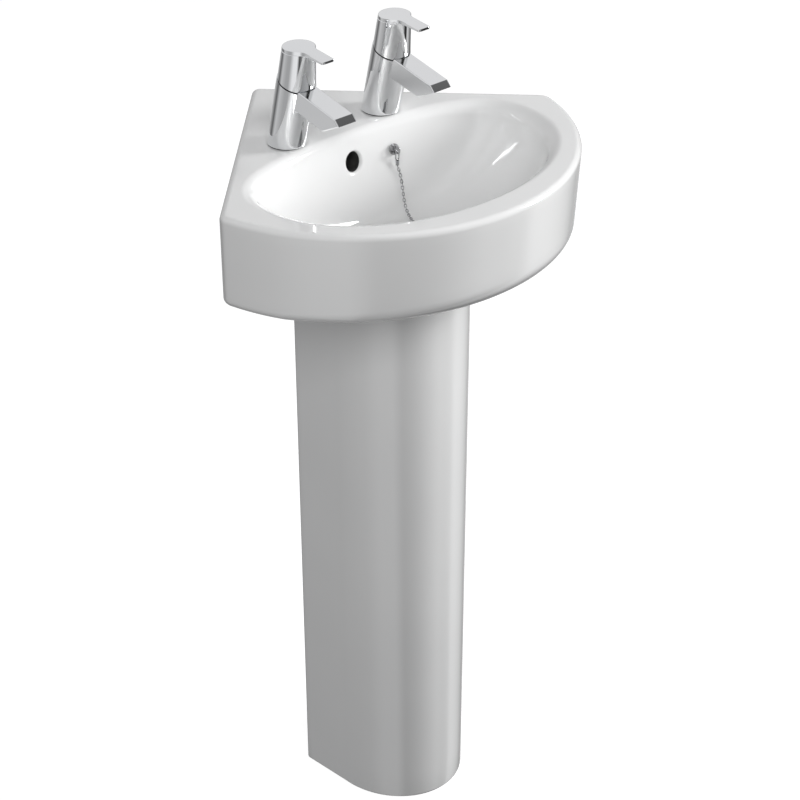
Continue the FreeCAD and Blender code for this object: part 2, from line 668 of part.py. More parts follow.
def make_tail():
    collar = upright(TAIL_COLLAR_RADIUS, BASE_SEAL + 0.2, TAIL_COLLAR_TOP - 0.2)
    shank = upright(TAIL_RADIUS, -TAIL_BELOW_DECK, BASE_SEAL + 1.0)
    end_edges = [e for e in shank.Edges if e.BoundBox.ZMax < -TAIL_BELOW_DECK + 0.01]
    shank = shank.makeChamfer(1.2, end_edges)
    groove_high = -DECK_THICKNESS - 12.0
    shank = shank.cut(upright_ring(TAIL_RADIUS + 1.0, TAIL_RADIUS - 0.7, groove_high - 1.5, groove_high))
    return collar.fuse(shank).removeSplitter().cut(upright(TAIL_BORE, -TAIL_BELOW_DECK - 1.0, 20.0))


def make_top_hat_washer():
    low = -DECK_THICKNESS - 3.0
    brim = upright(20.0, low, -DECK_THICKNESS)
    crown = upright(TAP_HOLE_RADIUS - 0.3, -DECK_THICKNESS, -DECK_THICKNESS + 7.0)
    return brim.fuse(crown).removeSplitter().cut(upright(TAIL_RADIUS + 0.2, low - 1.0, 0.0))


def make_back_nut():
    high = -DECK_THICKNESS - 3.0
    nut = hexagon(30.0, high - 8.0, high)
    nut.translate(place(0, 0, 0) * -1.0)
    return nut.cut(upright(TAIL_RADIUS + SEAT_CLEARANCE, high - 9.0, high + 1.0))


def make_flow_straightener():
    disc = outlet_bar(AERATOR_RADIUS, -6.5, -1.0)
    middle, normal = outlet_axis()
    for spoke in range(6):
        angle = math.radians(60.0 * spoke)
        sideways = FreeCAD.Vector(1, 0, 0)
        across = sideways * math.cos(angle) + normal.cross(sideways) * math.sin(angle)
        start = middle + normal * -8.0 + across * 5.0
        disc = disc.cut(Part.makeCylinder(1.6, 9.0, start, normal))
    return disc.cut(outlet_bar(1.6, -8.0, 1.0))


def tap_pieces():
    """Every piece of one tap, by name, at the tap's own origin."""
    return {
        "tap_body": make_tap_body(),
        "base_seal": upright_ring(21.6, 12.0, 0.0, BASE_SEAL),
        "tail": make_tail(),
        "top_hat_washer": make_top_hat_washer(),
        "back_nut": make_back_nut(),
        "headwork": make_headwork(),
        "fixed_disc": make_valve_disc(CHAMBER_RADIUS - 0.1, -CARTRIDGE_DEPTH + 0.2, DISC_TOP - 3.1),
        "moving_disc": make_valve_disc(CHAMBER_RADIUS - 0.3, DISC_TOP - 3.0, DISC_TOP),
        "spindle": make_spindle(),
        "spindle_o_ring": turned_ring(5.9, SPINDLE_RADIUS + RUNNING_CLEARANCE, -5.9, -3.1),
        "glide_ring": turned_ring(21.0, 15.0, 0.0, SEAM_GAP - 0.3),
        "handle": make_handle(),
        "grub_screw": make_grub_screw(),
        "flow_straightener": make_flow_straightener(),
    }


# ======== waste, plug and chain stay ========

def make_waste_body():
    seat_low = BOWL_FLOOR - PLUG_HEIGHT
    flange_low = BOWL_FLOOR - FLANGE_THICKNESS
    flange = cylinder(FLANGE_RADIUS, flange_low, BOWL_FLOOR, 0, WASTE_OUT)
    tube = cylinder(WASTE_THREAD_RADIUS, BOWL_FLOOR - WASTE_LENGTH, flange_low, 0, WASTE_OUT)
    seat = Part.makeCone(PLUG_LOW_RADIUS + 0.25, PLUG_TOP_RADIUS + 0.25, PLUG_HEIGHT + 1.0,
                         place(0, WASTE_OUT, seat_low - 1.0))
    bore = cylinder(WASTE_BORE, BOWL_FLOOR - WASTE_LENGTH - 1.0, seat_low + 0.5, 0, WASTE_OUT)
    slot_low = BOSS_BOTTOM + 10.0
    slot = box(-30, 30, WASTE_OUT - 9.0, WASTE_OUT + 9.0, slot_low, slot_low + 8.0)
    cross_slot = box(-9, 9, WASTE_OUT - 30.0, WASTE_OUT + 30.0, slot_low, slot_low + 8.0)
    body = flange.fuse(tube).cut(seat).cut(bore).cut(slot).cut(cross_slot)
    grid_low = slot_low - 4.0
    reach = WASTE_BORE + 1.0
    for bar in (box(-1.2, 1.2, WASTE_OUT - reach, WASTE_OUT + reach, grid_low, grid_low + 3.0),
                box(-reach, reach, WASTE_OUT - 1.2, WASTE_OUT + 1.2, grid_low, grid_low + 3.0)):
        body = body.fuse(bar)
    return body.removeSplitter()


def make_plug():
    low = BOWL_FLOOR - PLUG_HEIGHT
    taper = Part.makeCone(PLUG_LOW_RADIUS, PLUG_TOP_RADIUS, PLUG_HEIGHT, place(0, WASTE_OUT, low))
    lip_edges = [e for e in taper.Edges
                 if abs(e.BoundBox.ZMin - BOWL_FLOOR) < 0.01 and e.BoundBox.XLength > PLUG_LOW_RADIUS]
    taper = taper.makeFillet(1.2, lip_edges)
    return taper.cut(cylinder(13.0, BOWL_FLOOR - 1.0, BOWL_FLOOR + 1.0, 0, WASTE_OUT)).cut(
        cylinder(2.6, low + 3.0, BOWL_FLOOR + 1.0, 0, WASTE_OUT))


def make_plug_eye():
    plate = cylinder(12.8, BOWL_FLOOR - 0.95, BOWL_FLOOR + 0.3, 0, WASTE_OUT)
    stem = cylinder(2.5, BOWL_FLOOR - 7.0, BOWL_FLOOR + 3.5, 0, WASTE_OUT)
    eye = Part.makeTorus(PLUG_EYE_RADIUS, EYE_WIRE, place(0, WASTE_OUT, BOWL_FLOOR + PLUG_EYE_HEIGHT),
                         FreeCAD.Vector(1, 0, 0))
    return plate.fuse(stem).fuse(eye).removeSplitter()


def make_chain_stay():
    point, normal = stay_axis()
    shank = stay_cylinder(STAY_HOLE_RADIUS - 0.4, -CERAMIC - 8.0, 1.5)
    collar = stay_cylinder(6.5, 1.4, 3.2)
    eye_centre = point + normal * STAY_EYE_REACH
    sideways = normal.cross(UP)
    sideways.normalize()
    eye = Part.makeTorus(STAY_EYE_RADIUS, EYE_WIRE, eye_centre, sideways)
    neck = Part.makeCylinder(1.6, STAY_EYE_REACH - STAY_EYE_RADIUS - 2.5, point + normal * 2.8, normal)
    return shank.fuse(collar).fuse(neck).fuse(eye).removeSplitter()


def stay_eye_centre():
    point, normal = stay_axis()
    return point + normal * STAY_EYE_REACH


def make_stay_link():
    """A long ring that hangs in the stay's eye and carries the chain's end."""
    eye = stay_eye_centre()
    top = eye + FreeCAD.Vector(0, 0, -STAY_EYE_RADIUS + EYE_WIRE + LINK_WIRE + 0.15 - LINK_HALF_WIDTH)
    low = top + FreeCAD.Vector(0, 0, -LINK_STRAIGHT)
    side = FreeCAD.Vector(LINK_HALF_WIDTH, 0, 0)
    crown = FreeCAD.Vector(0, 0, LINK_HALF_WIDTH)
    edges = [Part.Arc(top - side, top + crown, top + side).toShape(),
             Part.makeLine(top + side, low + side),
             Part.Arc(low + side, low - crown, low - side).toShape(),
             Part.makeLine(low - side, top - side)]
    circle = Part.Circle(top - side, UP, LINK_WIRE)
    return Part.Wire(edges).makePipeShell([Part.Wire([circle.toShape()])], True, True)


def link_foot():
    """The lowest wire centre of the stay's link."""
    drop = STAY_EYE_RADIUS - EYE_WIRE - LINK_WIRE - 0.15 + 2.0 * LINK_HALF_WIDTH + LINK_STRAIGHT
    return stay_eye_centre() + FreeCAD.Vector(0, 0, -drop)


def tube_along(points, radius):
    """A round tube on straight runs joined by tangent arcs, as large as their runs allow."""
    edges = []
    start = points[0]
    radii = []
    for before, corner, after in zip(points, points[1:], points[2:]):
        first = corner - before
        second = after - corner
        shorter = min(first.Length, second.Length)
        trim = CHAIN_ARC_SHARE * shorter
        first.normalize()
        second.normalize()
        turn = first.getAngle(second)
        radii.append(trim / math.tan(turn / 2.0))
        arc_start = corner - first * trim
        arc_end = corner + second * trim
        bend = second - first
        bend.normalize()
        sagitta = trim * math.tan(turn / 4.0)
        to_middle = (arc_start + arc_end) * 0.5
        middle = to_middle + (corner - to_middle).normalize() * sagitta
        edges.append(Part.makeLine(start, arc_start))
        edges.append(Part.Arc(arc_start, middle, arc_end).toShape())
        start = arc_end
    edges.append(Part.makeLine(start, points[-1]))
    path = Part.Wire(edges)
    section = Part.Circle(points[0], points[1] - points[0], radius)
    tube = path.makePipeShell([Part.Wire([section.toShape()])], True, False)
    print("chain length %.1f, smallest radius %.1f, volume ratio %.4f" % (
        path.Length, min(radii), tube.Volume / (path.Length * math.pi * radius ** 2)))
    return tube


# ======== trap ========

def make_trap_body():
    cap_low = TRAP_OUTLET_HEIGHT - 22.0
    cap_high = TRAP_OUTLET_HEIGHT + 16.0
    inlet_top = BOWL_FLOOR - WASTE_LENGTH - INLET_WASHER
    inlet = cylinder(INLET_PIPE_RADIUS, TRAP_DIP_LOW, inlet_top, 0, WASTE_OUT)
    inlet_flange = cylinder(20.2, inlet_top - 3.0, inlet_top, 0, WASTE_OUT)
    cap = cylinder(TRAP_CAP_RADIUS, cap_low, cap_high, 0, WASTE_OUT)
    cap = cap.makeFillet(4.0, [e for e in cap.Edges if e.BoundBox.ZMin > cap_high - 0.01])
    thread = cylinder(BOTTLE_BORE - SEAT_CLEARANCE, cap_low - 16.0, cap_low + 1.0, 0, WASTE_OUT)
    branch_start = place(0, WASTE_OUT, TRAP_OUTLET_HEIGHT)
    back = FreeCAD.Vector(0, 1, 0)
    branch = Part.makeCylinder(BRANCH_RADIUS, BRANCH_REACH, branch_start, back)
    outer = cap.fuse(thread).fuse(branch)
    inside = cylinder(BOTTLE_BORE - 3.5, cap_low - 17.0, cap_high - 4.0, 0, WASTE_OUT)
    branch_bore = Part.makeCylinder(BRANCH_RADIUS - 4.0, BRANCH_REACH + 1.0, branch_start, back)
    socket = Part.makeCylinder(PIPE_RADIUS + 0.1, 22.0, branch_start + back * (BRANCH_REACH - 20.0), back)
    body = outer.cut(inside).cut(branch_bore).cut(socket)
    body = body.fuse(inlet.fuse(inlet_flange)).removeSplitter()
    return body.cut(cylinder(INLET_PIPE_RADIUS - 2.5, TRAP_DIP_LOW - 1.0, inlet_top + 1.0, 0, WASTE_OUT))


def make_trap_bottle():
    top = TRAP_OUTLET_HEIGHT - 22.0 - BOTTLE_SEAL
    low = top - BOTTLE_HEIGHT
    cup = cylinder(TRAP_CAP_RADIUS, low, top, 0, WASTE_OUT)
    cup = cup.makeFillet(9.0, [e for e in cup.Edges if e.BoundBox.ZMax < low + 0.01])
    cup = cup.cut(cylinder(BOTTLE_BORE, low + 4.0, top + 1.0, 0, WASTE_OUT))
    for rib in range(BOTTLE_RIBS):
        angle = 2.0 * math.pi * rib / BOTTLE_RIBS
        centre = FreeCAD.Vector(TRAP_CAP_RADIUS * math.cos(angle), TRAP_CAP_RADIUS * math.sin(angle), 0)
        cup = cup.cut(Part.makeCylinder(1.1, 30.0, place(0, WASTE_OUT, top - 26.0) + centre))
    return cup


def make_union_nut(axis_start, direction, bore, lip_bore, outside, length):
    """A ribbed hand nut: its open end leads, its lip is at the axis start."""
    nut = Part.makeCylinder(outside, length, axis_start, direction)
    nut = nut.cut(Part.makeCylinder(bore, length, axis_start + direction * 3.0, direction))
    nut = nut.cut(Part.makeCylinder(lip_bore, 10.0, axis_start - direction, direction))
    across = direction.cross(FreeCAD.Vector(1, 0, 0))
    for rib in range(NUT_RIBS):
        angle = 2.0 * math.pi * rib / NUT_RIBS
        spoke = FreeCAD.Vector(1, 0, 0) * math.cos(angle) + across * math.sin(angle)
        groove = Part.makeCylinder(1.3, length + 2.0, axis_start - direction + spoke * outside, direction)
        nut = nut.cut(groove)
    return nut


def trap_pieces():
    """The bottle trap that hangs on the waste inside the pedestal."""
    inlet_top = BOWL_FLOOR - WASTE_LENGTH - INLET_WASHER
    back = FreeCAD.Vector(0, 1, 0)
    branch_end = place(0, WASTE_OUT - BRANCH_REACH, TRAP_OUTLET_HEIGHT)
    seal_top = TRAP_OUTLET_HEIGHT - 22.0
    pipe_start = branch_end + back * -18.0
    pipe_length = WASTE_OUT - BRANCH_REACH + 18.0 - PIPE_END_OUT
    pipe = Part.makeCylinder(PIPE_RADIUS, pipe_length, pipe_start, back)
    pipe = pipe.cut(Part.makeCylinder(PIPE_RADIUS - PIPE_WALL, pipe_length + 2.0, pipe_start - back, back))
    # a fine groove marks how deep the pipe's end goes into the next fitting
    mark_start = place(0, PIPE_END_OUT + PIPE_MARK + 1.0, TRAP_OUTLET_HEIGHT)
    mark = Part.makeCylinder(PIPE_RADIUS + 1.0, 1.0, mark_start, back)
    pipe = pipe.cut(mark.cut(Part.makeCylinder(PIPE_RADIUS - 0.25, 3.0, mark_start - back, back)))
    outlet_seal = Part.makeCylinder(BRANCH_RADIUS, 3.0, branch_end + back * 0.1, back)
    outlet_seal = outlet_seal.cut(
        Part.makeCylinder(PIPE_RADIUS + SEAT_CLEARANCE, 5.0, branch_end - back, back))
    return {
        "trap_inlet_washer": ring(20.2, INLET_PIPE_RADIUS - 2.5, inlet_top, inlet_top + INLET_WASHER,
                                  0, WASTE_OUT),
        "trap_inlet_nut": make_union_nut(place(0, WASTE_OUT, inlet_top - 6.2), UP,
                                         WASTE_THREAD_RADIUS + SEAT_CLEARANCE,
                                         INLET_PIPE_RADIUS + 0.3, 26.0, 22.0),
        "trap_body": make_trap_body(),
        "trap_bottle": make_trap_bottle(),
        "trap_bottle_seal": ring(TRAP_CAP_RADIUS - 1.0, BOTTLE_BORE, seal_top - BOTTLE_SEAL, seal_top,
                                 0, WASTE_OUT),
        "trap_outlet_nut": make_union_nut(branch_end + back * 6.3, back * -1.0,
                                          BRANCH_RADIUS + SEAT_CLEARANCE, PIPE_RADIUS + 0.3, 25.5, 19.0),
        "trap_outlet_seal": outlet_seal,
        "waste_pipe": pipe,
    }


# ======== write the sub-parts ========

os.makedirs("parts", exist_ok=True)
write("basin", make_basin())
write("pedestal", make_pedestal())
write("pedestal_gasket", make_pedestal_gasket())

pieces = tap_pieces()
for tap_name, tap_side in (("hot", -1.0), ("cold", 1.0)):
    for piece_name, piece in pieces.items():
        moved = piece.copy()
        moved.translate(place(tap_side * TAP_X, TAP_OUT, RIM_HEIGHT))
        write(tap_name + "_" + piece_name, moved)

seat_height = BOWL_FLOOR - FLANGE_RECESS
write("waste_body", make_waste_body())
write("waste_flange_seal", ring(FLANGE_RADIUS - 1.0, WASTE_THREAD_RADIUS + 0.3, seat_height,
                                BOWL_FLOOR - FLANGE_THICKNESS, 0, WASTE_OUT))
write("waste_lower_washer", ring(32.0, WASTE_THREAD_RADIUS + 0.2, BOSS_BOTTOM - 4.0, BOSS_BOTTOM,
                                 0, WASTE_OUT))
waste_nut = hexagon(54.0, BOSS_BOTTOM - 12.0, BOSS_BOTTOM - 4.0, 0, WASTE_OUT)
write("waste_back_nut", waste_nut.cut(cylinder(WASTE_THREAD_RADIUS + SEAT_CLEARANCE, BOSS_BOTTOM - 13.0,
                                               BOSS_BOTTOM, 0, WASTE_OUT)))
write("plug", make_plug())
write("plug_eye", make_plug_eye())
write("plug_link", Part.makeTorus(PLUG_LINK_RADIUS, LINK_WIRE,
                                  place(0, WASTE_OUT + PLUG_LINK_REACH, BOWL_FLOOR + PLUG_EYE_HEIGHT), UP))

write("chain_stay", make_chain_stay())
write("stay_washer", stay_cylinder(6.0, 0.3, 1.4).cut(stay_cylinder(STAY_HOLE_RADIUS, -1.0, 3.0)))
write("stay_back_washer", stay_cylinder(8.0, -CERAMIC - 3.5, -CERAMIC - 2.0).cut(
    stay_cylinder(STAY_HOLE_RADIUS, -CERAMIC - 5.0, 0.0)))
write("stay_nut", stay_cylinder(6.5, -CERAMIC - 6.5, -CERAMIC - 3.5).cut(
    stay_cylinder(STAY_HOLE_RADIUS - 0.4 + SEAT_CLEARANCE, -CERAMIC - 8.0, 0.0)))
write("stay_link", make_stay_link())
coupling_top = link_foot() + FreeCAD.Vector(0, 0, -LINK_WIRE - 0.1)
write("chain_coupling", Part.makeCylinder(COUPLING_RADIUS, COUPLING_LENGTH,
                                          coupling_top + UP * -COUPLING_LENGTH))
route = [coupling_top + UP * -(COUPLING_LENGTH + COUPLING_GAP)]
for x, out, height in CHAIN_ROUTE:
    route.append(place(x, out, height))
write("plug_chain", tube_along(route, CHAIN_DIAMETER / 2.0))

for trap_name, trap_piece in trap_pieces().items():
    write(trap_name, trap_piece)
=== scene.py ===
"""Looks of a corner hand-rinse basin on a full pedestal, with two lever taps. Metres."""
import json
import math

import bpy
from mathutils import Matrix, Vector


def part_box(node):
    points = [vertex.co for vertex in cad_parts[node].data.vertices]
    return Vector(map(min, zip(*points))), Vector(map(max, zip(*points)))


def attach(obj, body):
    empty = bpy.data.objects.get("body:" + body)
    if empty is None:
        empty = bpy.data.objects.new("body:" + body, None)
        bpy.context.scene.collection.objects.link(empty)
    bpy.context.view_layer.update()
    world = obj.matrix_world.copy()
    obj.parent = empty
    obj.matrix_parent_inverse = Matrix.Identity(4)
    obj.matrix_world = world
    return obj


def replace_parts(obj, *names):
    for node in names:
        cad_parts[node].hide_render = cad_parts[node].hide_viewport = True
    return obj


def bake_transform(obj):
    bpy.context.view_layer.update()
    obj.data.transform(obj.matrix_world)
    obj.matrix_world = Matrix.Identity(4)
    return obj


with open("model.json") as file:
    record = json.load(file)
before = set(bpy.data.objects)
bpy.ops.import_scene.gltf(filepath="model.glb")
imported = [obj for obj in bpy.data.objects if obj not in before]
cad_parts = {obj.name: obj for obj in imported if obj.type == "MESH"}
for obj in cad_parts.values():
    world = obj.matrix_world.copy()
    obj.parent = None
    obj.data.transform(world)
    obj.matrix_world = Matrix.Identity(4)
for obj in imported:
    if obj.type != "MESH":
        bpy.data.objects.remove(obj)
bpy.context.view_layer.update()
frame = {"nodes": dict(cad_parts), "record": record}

ROOT2 = math.sqrt(2.0)
QUARTER = math.pi / 2.0
SMOOTH_LIMIT = math.radians(35.0)

# the corner of the two walls is the basin's plan origin: (x, out) with "out" along -Y
CORNER_Y = 0.224351
RIM = 0.850
SKIRT_HEIGHT = 0.114
SKIRT_BOTTOM = RIM - SKIRT_HEIGHT
SKIRT_DRAFT = 0.007
FRONT_RADIUS = 0.252
FRONT_CENTRE = 0.445 - FRONT_RADIUS
END_RADIUS = 0.017
BACK_RADIUS = 0.010
RIM_EDGE = 0.007
EDGE_FRONT = 0.028
EDGE_END = 0.012
EDGE_WALL = 0.010

BOWL_DEPTH = 0.106
BOWL_OUT = 0.265
WASTE_OUT = 0.250
BOWL_HALF_WIDTH = 0.187
BOWL_FRONT = 0.139
BOWL_BACK = 0.087
BOWL_POWER = 2.7
BOWL_EDGE_FRONT = 0.008
BOWL_EDGE_BACK = 0.010
BOWL_EDGE_END = 0.016
FLOOR_RADIUS = 0.038
FLOOR = RIM - BOWL_DEPTH
RECESS_RADIUS = 0.0325
RECESS_DEPTH = 0.004
WASTE_HOLE = 0.0225
BOSS_RADIUS = 0.036
BOSS_BOTTOM = SKIRT_BOTTOM - 0.020

WELL_WALL = 0.013
WELL_OUT = 0.148
WELL_BLUNT = 0.004
WELL_TOP = RIM - 0.013
WELL_OVERCUT = 0.03

OVERFLOW_DROP = 0.035
OVERFLOW_HALF_WIDTH = 0.0105
OVERFLOW_HALF_HEIGHT = 0.012
OVERFLOW_LIP = 0.0035
OVERFLOW_PATCH = 0.006
CLOSING_LOOPS = 4
LIP_LOOPS = 7
DUCT_BACK = 0.160

PEDESTAL_TOP = SKIRT_BOTTOM - 0.002
PEDESTAL_FRONT = 0.335
PEDESTAL_BACK = 0.178
PEDESTAL_HALF_WIDTH = 0.082
PEDESTAL_NOSE = 0.092
PEDESTAL_SPLAY = math.radians(3.8)
PEDESTAL_TAPER = 0.078 / 0.650
PEDESTAL_WALL = 0.010
FOOT_LEDGE = 0.036
FOOT_THICKNESS = 0.014

TAP_X = 0.0705
TAP_OUT = 0.149
SEAM_FORWARD = 0.0193
SEAM_HEIGHT = 0.0811
SEAM_GAP = 0.001
TURN_LEAN = math.radians(22.0)
HANDLE_RADIUS = 0.022
TOP_FORWARD = 0.0247
TOP_HEIGHT = 0.125
TOP_RADIUS = 0.0188
HANDLE_SMOOTH_LIMIT = math.radians(28.0)
TONGUE_CORNER = 0.0026
TONGUE_REACH = 0.0503
TONGUE_HALF_WIDTH = 0.0088
TONGUE_FLARE = 0.014
TONGUE_DIP = 0.0026
TONGUE_ROOT = 0.0052
TONGUE_TIP = 0.0034

CHAIN_GAP = 0.0007
LINK_WIRE = 0.00046
LINK_BEND = 0.00130
LINK_SIDE = 0.0019
LINK_SLACK = 0.0001
LINK_TURNS = (math.radians(-50.0), math.radians(40.0))
LINK_END_STEPS = 7
WIRE_STEPS = 7
# the chain's route as (x, out, height): down the bowl's wall, along its floor past the
# waste, and round to the plug's eye
CHAIN_ROUTE = (
    (0.0600, 0.1946, 0.7870),
    (0.0595, 0.1984, 0.7755),
    (0.0570, 0.2032, 0.7655),
    (0.0535, 0.2095, 0.7570),
    (0.0495, 0.2178, 0.7508),
    (0.0450, 0.2280, 0.7478),
    (0.0405, 0.2400, 0.7468),
    (0.0375, 0.2525, 0.7466),
    (0.0360, 0.2655, 0.7467),
    (0.0315, 0.2775, 0.7470),
    (0.0220, 0.2860, 0.7473),
    (0.0105, 0.2875, 0.7472),
    (0.0020, 0.2810, 0.7472),
    (-0.0005, 0.2710, 0.7484),
    (0.0000, 0.2610, 0.7504),
)

# the photo's view
CAMERA_LENS = 114.36
CAMERA_SENSOR = 36.0
CAMERA_SPOT = (-1.7253, -1.96405, 2.0484)
CAMERA_PITCH = math.radians(30.338)
CAMERA_HEADING = math.radians(41.84)

ROOM_FLOOR_HALF = 12.0
ROOM_FLOOR_GLOW = 0.86
# bright and dark bands round the room, as (share of a turn from -X, brightness)
SKY_BANDS = (
    (0.0, 0.42), (0.06, 0.9), (0.12, 0.95), (0.16, 0.05), (0.22, 0.35), (0.33, 0.5),
    (0.365, 0.03), (0.40, 0.03), (0.43, 0.75), (0.50, 0.30), (0.56, 0.04), (0.60, 0.45),
    (0.70, 0.55), (0.80, 0.12), (0.86, 0.6), (0.95, 0.42),
)
SKY_TOP = (0.80, 0.80, 0.81, 1.0)
SKY_DIFFUSE = 0.34
SKY_IN_GLOSS = 0.95
# each light as (name, place, aim, size, watts, seen in gloss)
LIGHTS = (
    ("key", (2.15, -1.4, 1.55), (0, 0, 0.75), (0.8, 1.1), 82.0, True),
    ("fill", (-1.45, -1.5, 2.0), (0, 0, 0.75), (1.2, 1.2), 29.0, False),
    ("ceiling", (-0.1, 0.2, 2.8), (0, 0, 0.7), (1.4, 1.4), 4.5, False),
)


def place(x, out, z):
    return Vector((x, CORNER_Y - out, z))


# ======== camera ========

def make_camera():
    data = bpy.data.cameras.new("camera")
    data.lens = CAMERA_LENS
    data.sensor_width = CAMERA_SENSOR
    camera = bpy.data.objects.new("camera", data)
    bpy.context.scene.collection.objects.link(camera)
    level = math.cos(CAMERA_PITCH)
    ahead = Vector((math.sin(CAMERA_HEADING) * level, math.cos(CAMERA_HEADING) * level,
                    -math.sin(CAMERA_PITCH)))
    camera.rotation_mode = "QUATERNION"
    camera.rotation_quaternion = ahead.to_track_quat("-Z", "Y")
    camera.location = CAMERA_SPOT
    data.clip_start = 0.1
    data.clip_end = 60.0
    bpy.context.scene.camera = camera


make_camera()


# ======== materials ========

class Shader:
    """A node material with one principled shader, and short calls to wire what varies over it."""

    def __init__(self, name, colour, roughness, metallic=0.0):
        self.material = bpy.data.materials.new(name)
        self.material.use_nodes = True
        self.tree = self.material.node_tree
        self.main = self.tree.nodes["Principled BSDF"]
        self.main.inputs["Base Color"].default_value = (*colour, 1.0)
        self.main.inputs["Roughness"].default_value = roughness
        self.main.inputs["Metallic"].default_value = metallic
        self.where = self.tree.nodes.new("ShaderNodeTexCoord").outputs["Object"]

    def noise(self, scale, detail=3.0, roughness=0.5):
        node = self.tree.nodes.new("ShaderNodeTexNoise")
        node.inputs["Scale"].default_value = scale
        node.inputs["Detail"].default_value = detail
        node.inputs["Roughness"].default_value = roughness
        self.tree.links.new(self.where, node.inputs["Vector"])
        return node.outputs["Fac"]

    def ramp(self, value, low, high, low_colour, high_colour):
        node = self.tree.nodes.new("ShaderNodeValToRGB")
        node.color_ramp.elements[0].position = low
        node.color_ramp.elements[1].position = high
        node.color_ramp.elements[0].color = (*low_colour, 1.0)
        node.color_ramp.elements[1].color = (*high_colour, 1.0)
        self.tree.links.new(value, node.inputs["Fac"])
        return node.outputs["Color"]

    def spread(self, value, low, high):
        node = self.tree.nodes.new("ShaderNodeMapRange")
        node.inputs["From Min"].default_value = 0.3
        node.inputs["From Max"].default_value = 0.7
        node.inputs["To Min"].default_value = low
        node.inputs["To Max"].default_value = high
        self.tree.links.new(value, node.inputs["Value"])
        return node.outputs["Result"]

    def bump(self, value, distance, strength=1.0):
        node = self.tree.nodes.new("ShaderNodeBump")
        node.inputs["Strength"].default_value = strength
        node.inputs["Distance"].default_value = distance
        self.tree.links.new(value, node.inputs["Height"])
        self.tree.links.new(node.outputs["Normal"], self.main.inputs["Normal"])

    def colour(self, socket):
        self.tree.links.new(socket, self.main.inputs["Base Color"])

    def rough(self, socket):
        self.tree.links.new(socket, self.main.inputs["Roughness"])


def glazed_china():
    s = Shader("glazed_china", (0.8, 0.8, 0.8), 0.1)
    s.colour(s.ramp(s.noise(6.0, 2.0), 0.3, 0.7, (0.745, 0.748, 0.747), (0.775, 0.777, 0.775)))
    s.rough(s.spread(s.noise(40.0), 0.07, 0.12))
    s.main.inputs["IOR"].default_value = 1.52
    s.main.inputs["Coat Weight"].default_value = 0.35
    s.main.inputs["Coat Roughness"].default_value = 0.03
    s.bump(s.noise(55.0, 1.0), 0.00012, 0.25)
    return s.material


# near-black colour for the overflow's deep duct faces: painted shade standing in for the shadow inside
# the duct, not the clay's own colour
def painted_shade_duct():
    s = Shader("painted_shade_duct", (0.05, 0.05, 0.05), 0.8)
    s.colour(s.ramp(s.noise(90.0), 0.3, 0.7, (0.020, 0.020, 0.020), (0.045, 0.044, 0.042)))
    s.bump(s.noise(400.0), 0.0003, 0.5)
    return s.material


def chrome():
    s = Shader("chrome", (0.86, 0.87, 0.88), 0.04, metallic=1.0)
    s.rough(s.spread(s.noise(120.0), 0.02, 0.06))
    s.colour(s.ramp(s.noise(9.0), 0.3, 0.7, (0.84, 0.85, 0.86), (0.88, 0.885, 0.89)))
    return s.material


# the chain's chrome, darker than the taps' chrome: painted shade for the shadow between the links and
# their darker reflections
def chain_chrome_painted_shade():
    s = Shader("chain_chrome_painted_shade", (0.5, 0.5, 0.5), 0.15, metallic=1.0)
    s.rough(s.spread(s.noise(400.0), 0.10, 0.22))
    s.colour(s.ramp(s.noise(150.0), 0.3, 0.7, (0.40, 0.40, 0.41), (0.52, 0.52, 0.53)))
    return s.material


def turned_brass():
    s = Shader("turned_brass", (0.8, 0.6, 0.3), 0.3, metallic=1.0)
    s.colour(s.ramp(s.noise(60.0), 0.3, 0.7, (0.70, 0.52, 0.25), (0.82, 0.64, 0.34)))
    s.rough(s.spread(s.noise(300.0), 0.22, 0.38))
    return s.material


def bright_steel():
    s = Shader("bright_steel", (0.6, 0.6, 0.62), 0.25, metallic=1.0)
    s.colour(s.ramp(s.noise(90.0), 0.3, 0.7, (0.55, 0.56, 0.57), (0.68, 0.69, 0.70)))
    s.rough(s.spread(s.noise(500.0), 0.18, 0.32))
    return s.material


def black_rubber():
    s = Shader("black_rubber", (0.02, 0.02, 0.02), 0.6)
    s.colour(s.ramp(s.noise(150.0), 0.3, 0.7, (0.012, 0.012, 0.013), (0.03, 0.03, 0.032)))
    s.bump(s.noise(900.0), 0.0001, 0.5)
    return s.material


def grey_foam():
    s = Shader("grey_foam", (0.3, 0.3, 0.3), 0.9)
    s.colour(s.ramp(s.noise(500.0), 0.35, 0.65, (0.16, 0.16, 0.17), (0.34, 0.34, 0.35)))
    s.bump(s.noise(900.0), 0.0004, 0.8)
    return s.material


def moulded_plastic(name, dark, light):
    s = Shader(name, light, 0.4)
    s.colour(s.ramp(s.noise(30.0), 0.3, 0.7, dark, light))
    s.rough(s.spread(s.noise(250.0), 0.30, 0.46))
    s.bump(s.noise(1200.0, 1.0), 0.00005, 0.6)
    return s.material


def valve_ceramic():
    s = Shader("valve_ceramic", (0.8, 0.78, 0.75), 0.2)
    s.colour(s.ramp(s.noise(200.0), 0.3, 0.7, (0.72, 0.70, 0.66), (0.82, 0.80, 0.77)))
    return s.material


CHINA = glazed_china()
DUCT_PAINTED_SHADE = painted_shade_duct()
CHROME = chrome()
CHAIN_CHROME_PAINTED_SHADE = chain_chrome_painted_shade()
CHAIN_NODES = ("chain_stay", "stay_link", "chain_coupling", "plug_link")
FINISHES = {
    "glazed_china": CHINA,
    "chrome": CHROME,
    "brass": turned_brass(),
    "steel": bright_steel(),
    "black_rubber": black_rubber(),
    "grey_foam": grey_foam(),
    "black_plastic": moulded_plastic("black_plastic", (0.018, 0.018, 0.02), (0.03, 0.03, 0.033)),
    "white_plastic": moulded_plastic("white_plastic", (0.72, 0.72, 0.71), (0.80, 0.80, 0.79)),
    "valve_ceramic": valve_ceramic(),
}


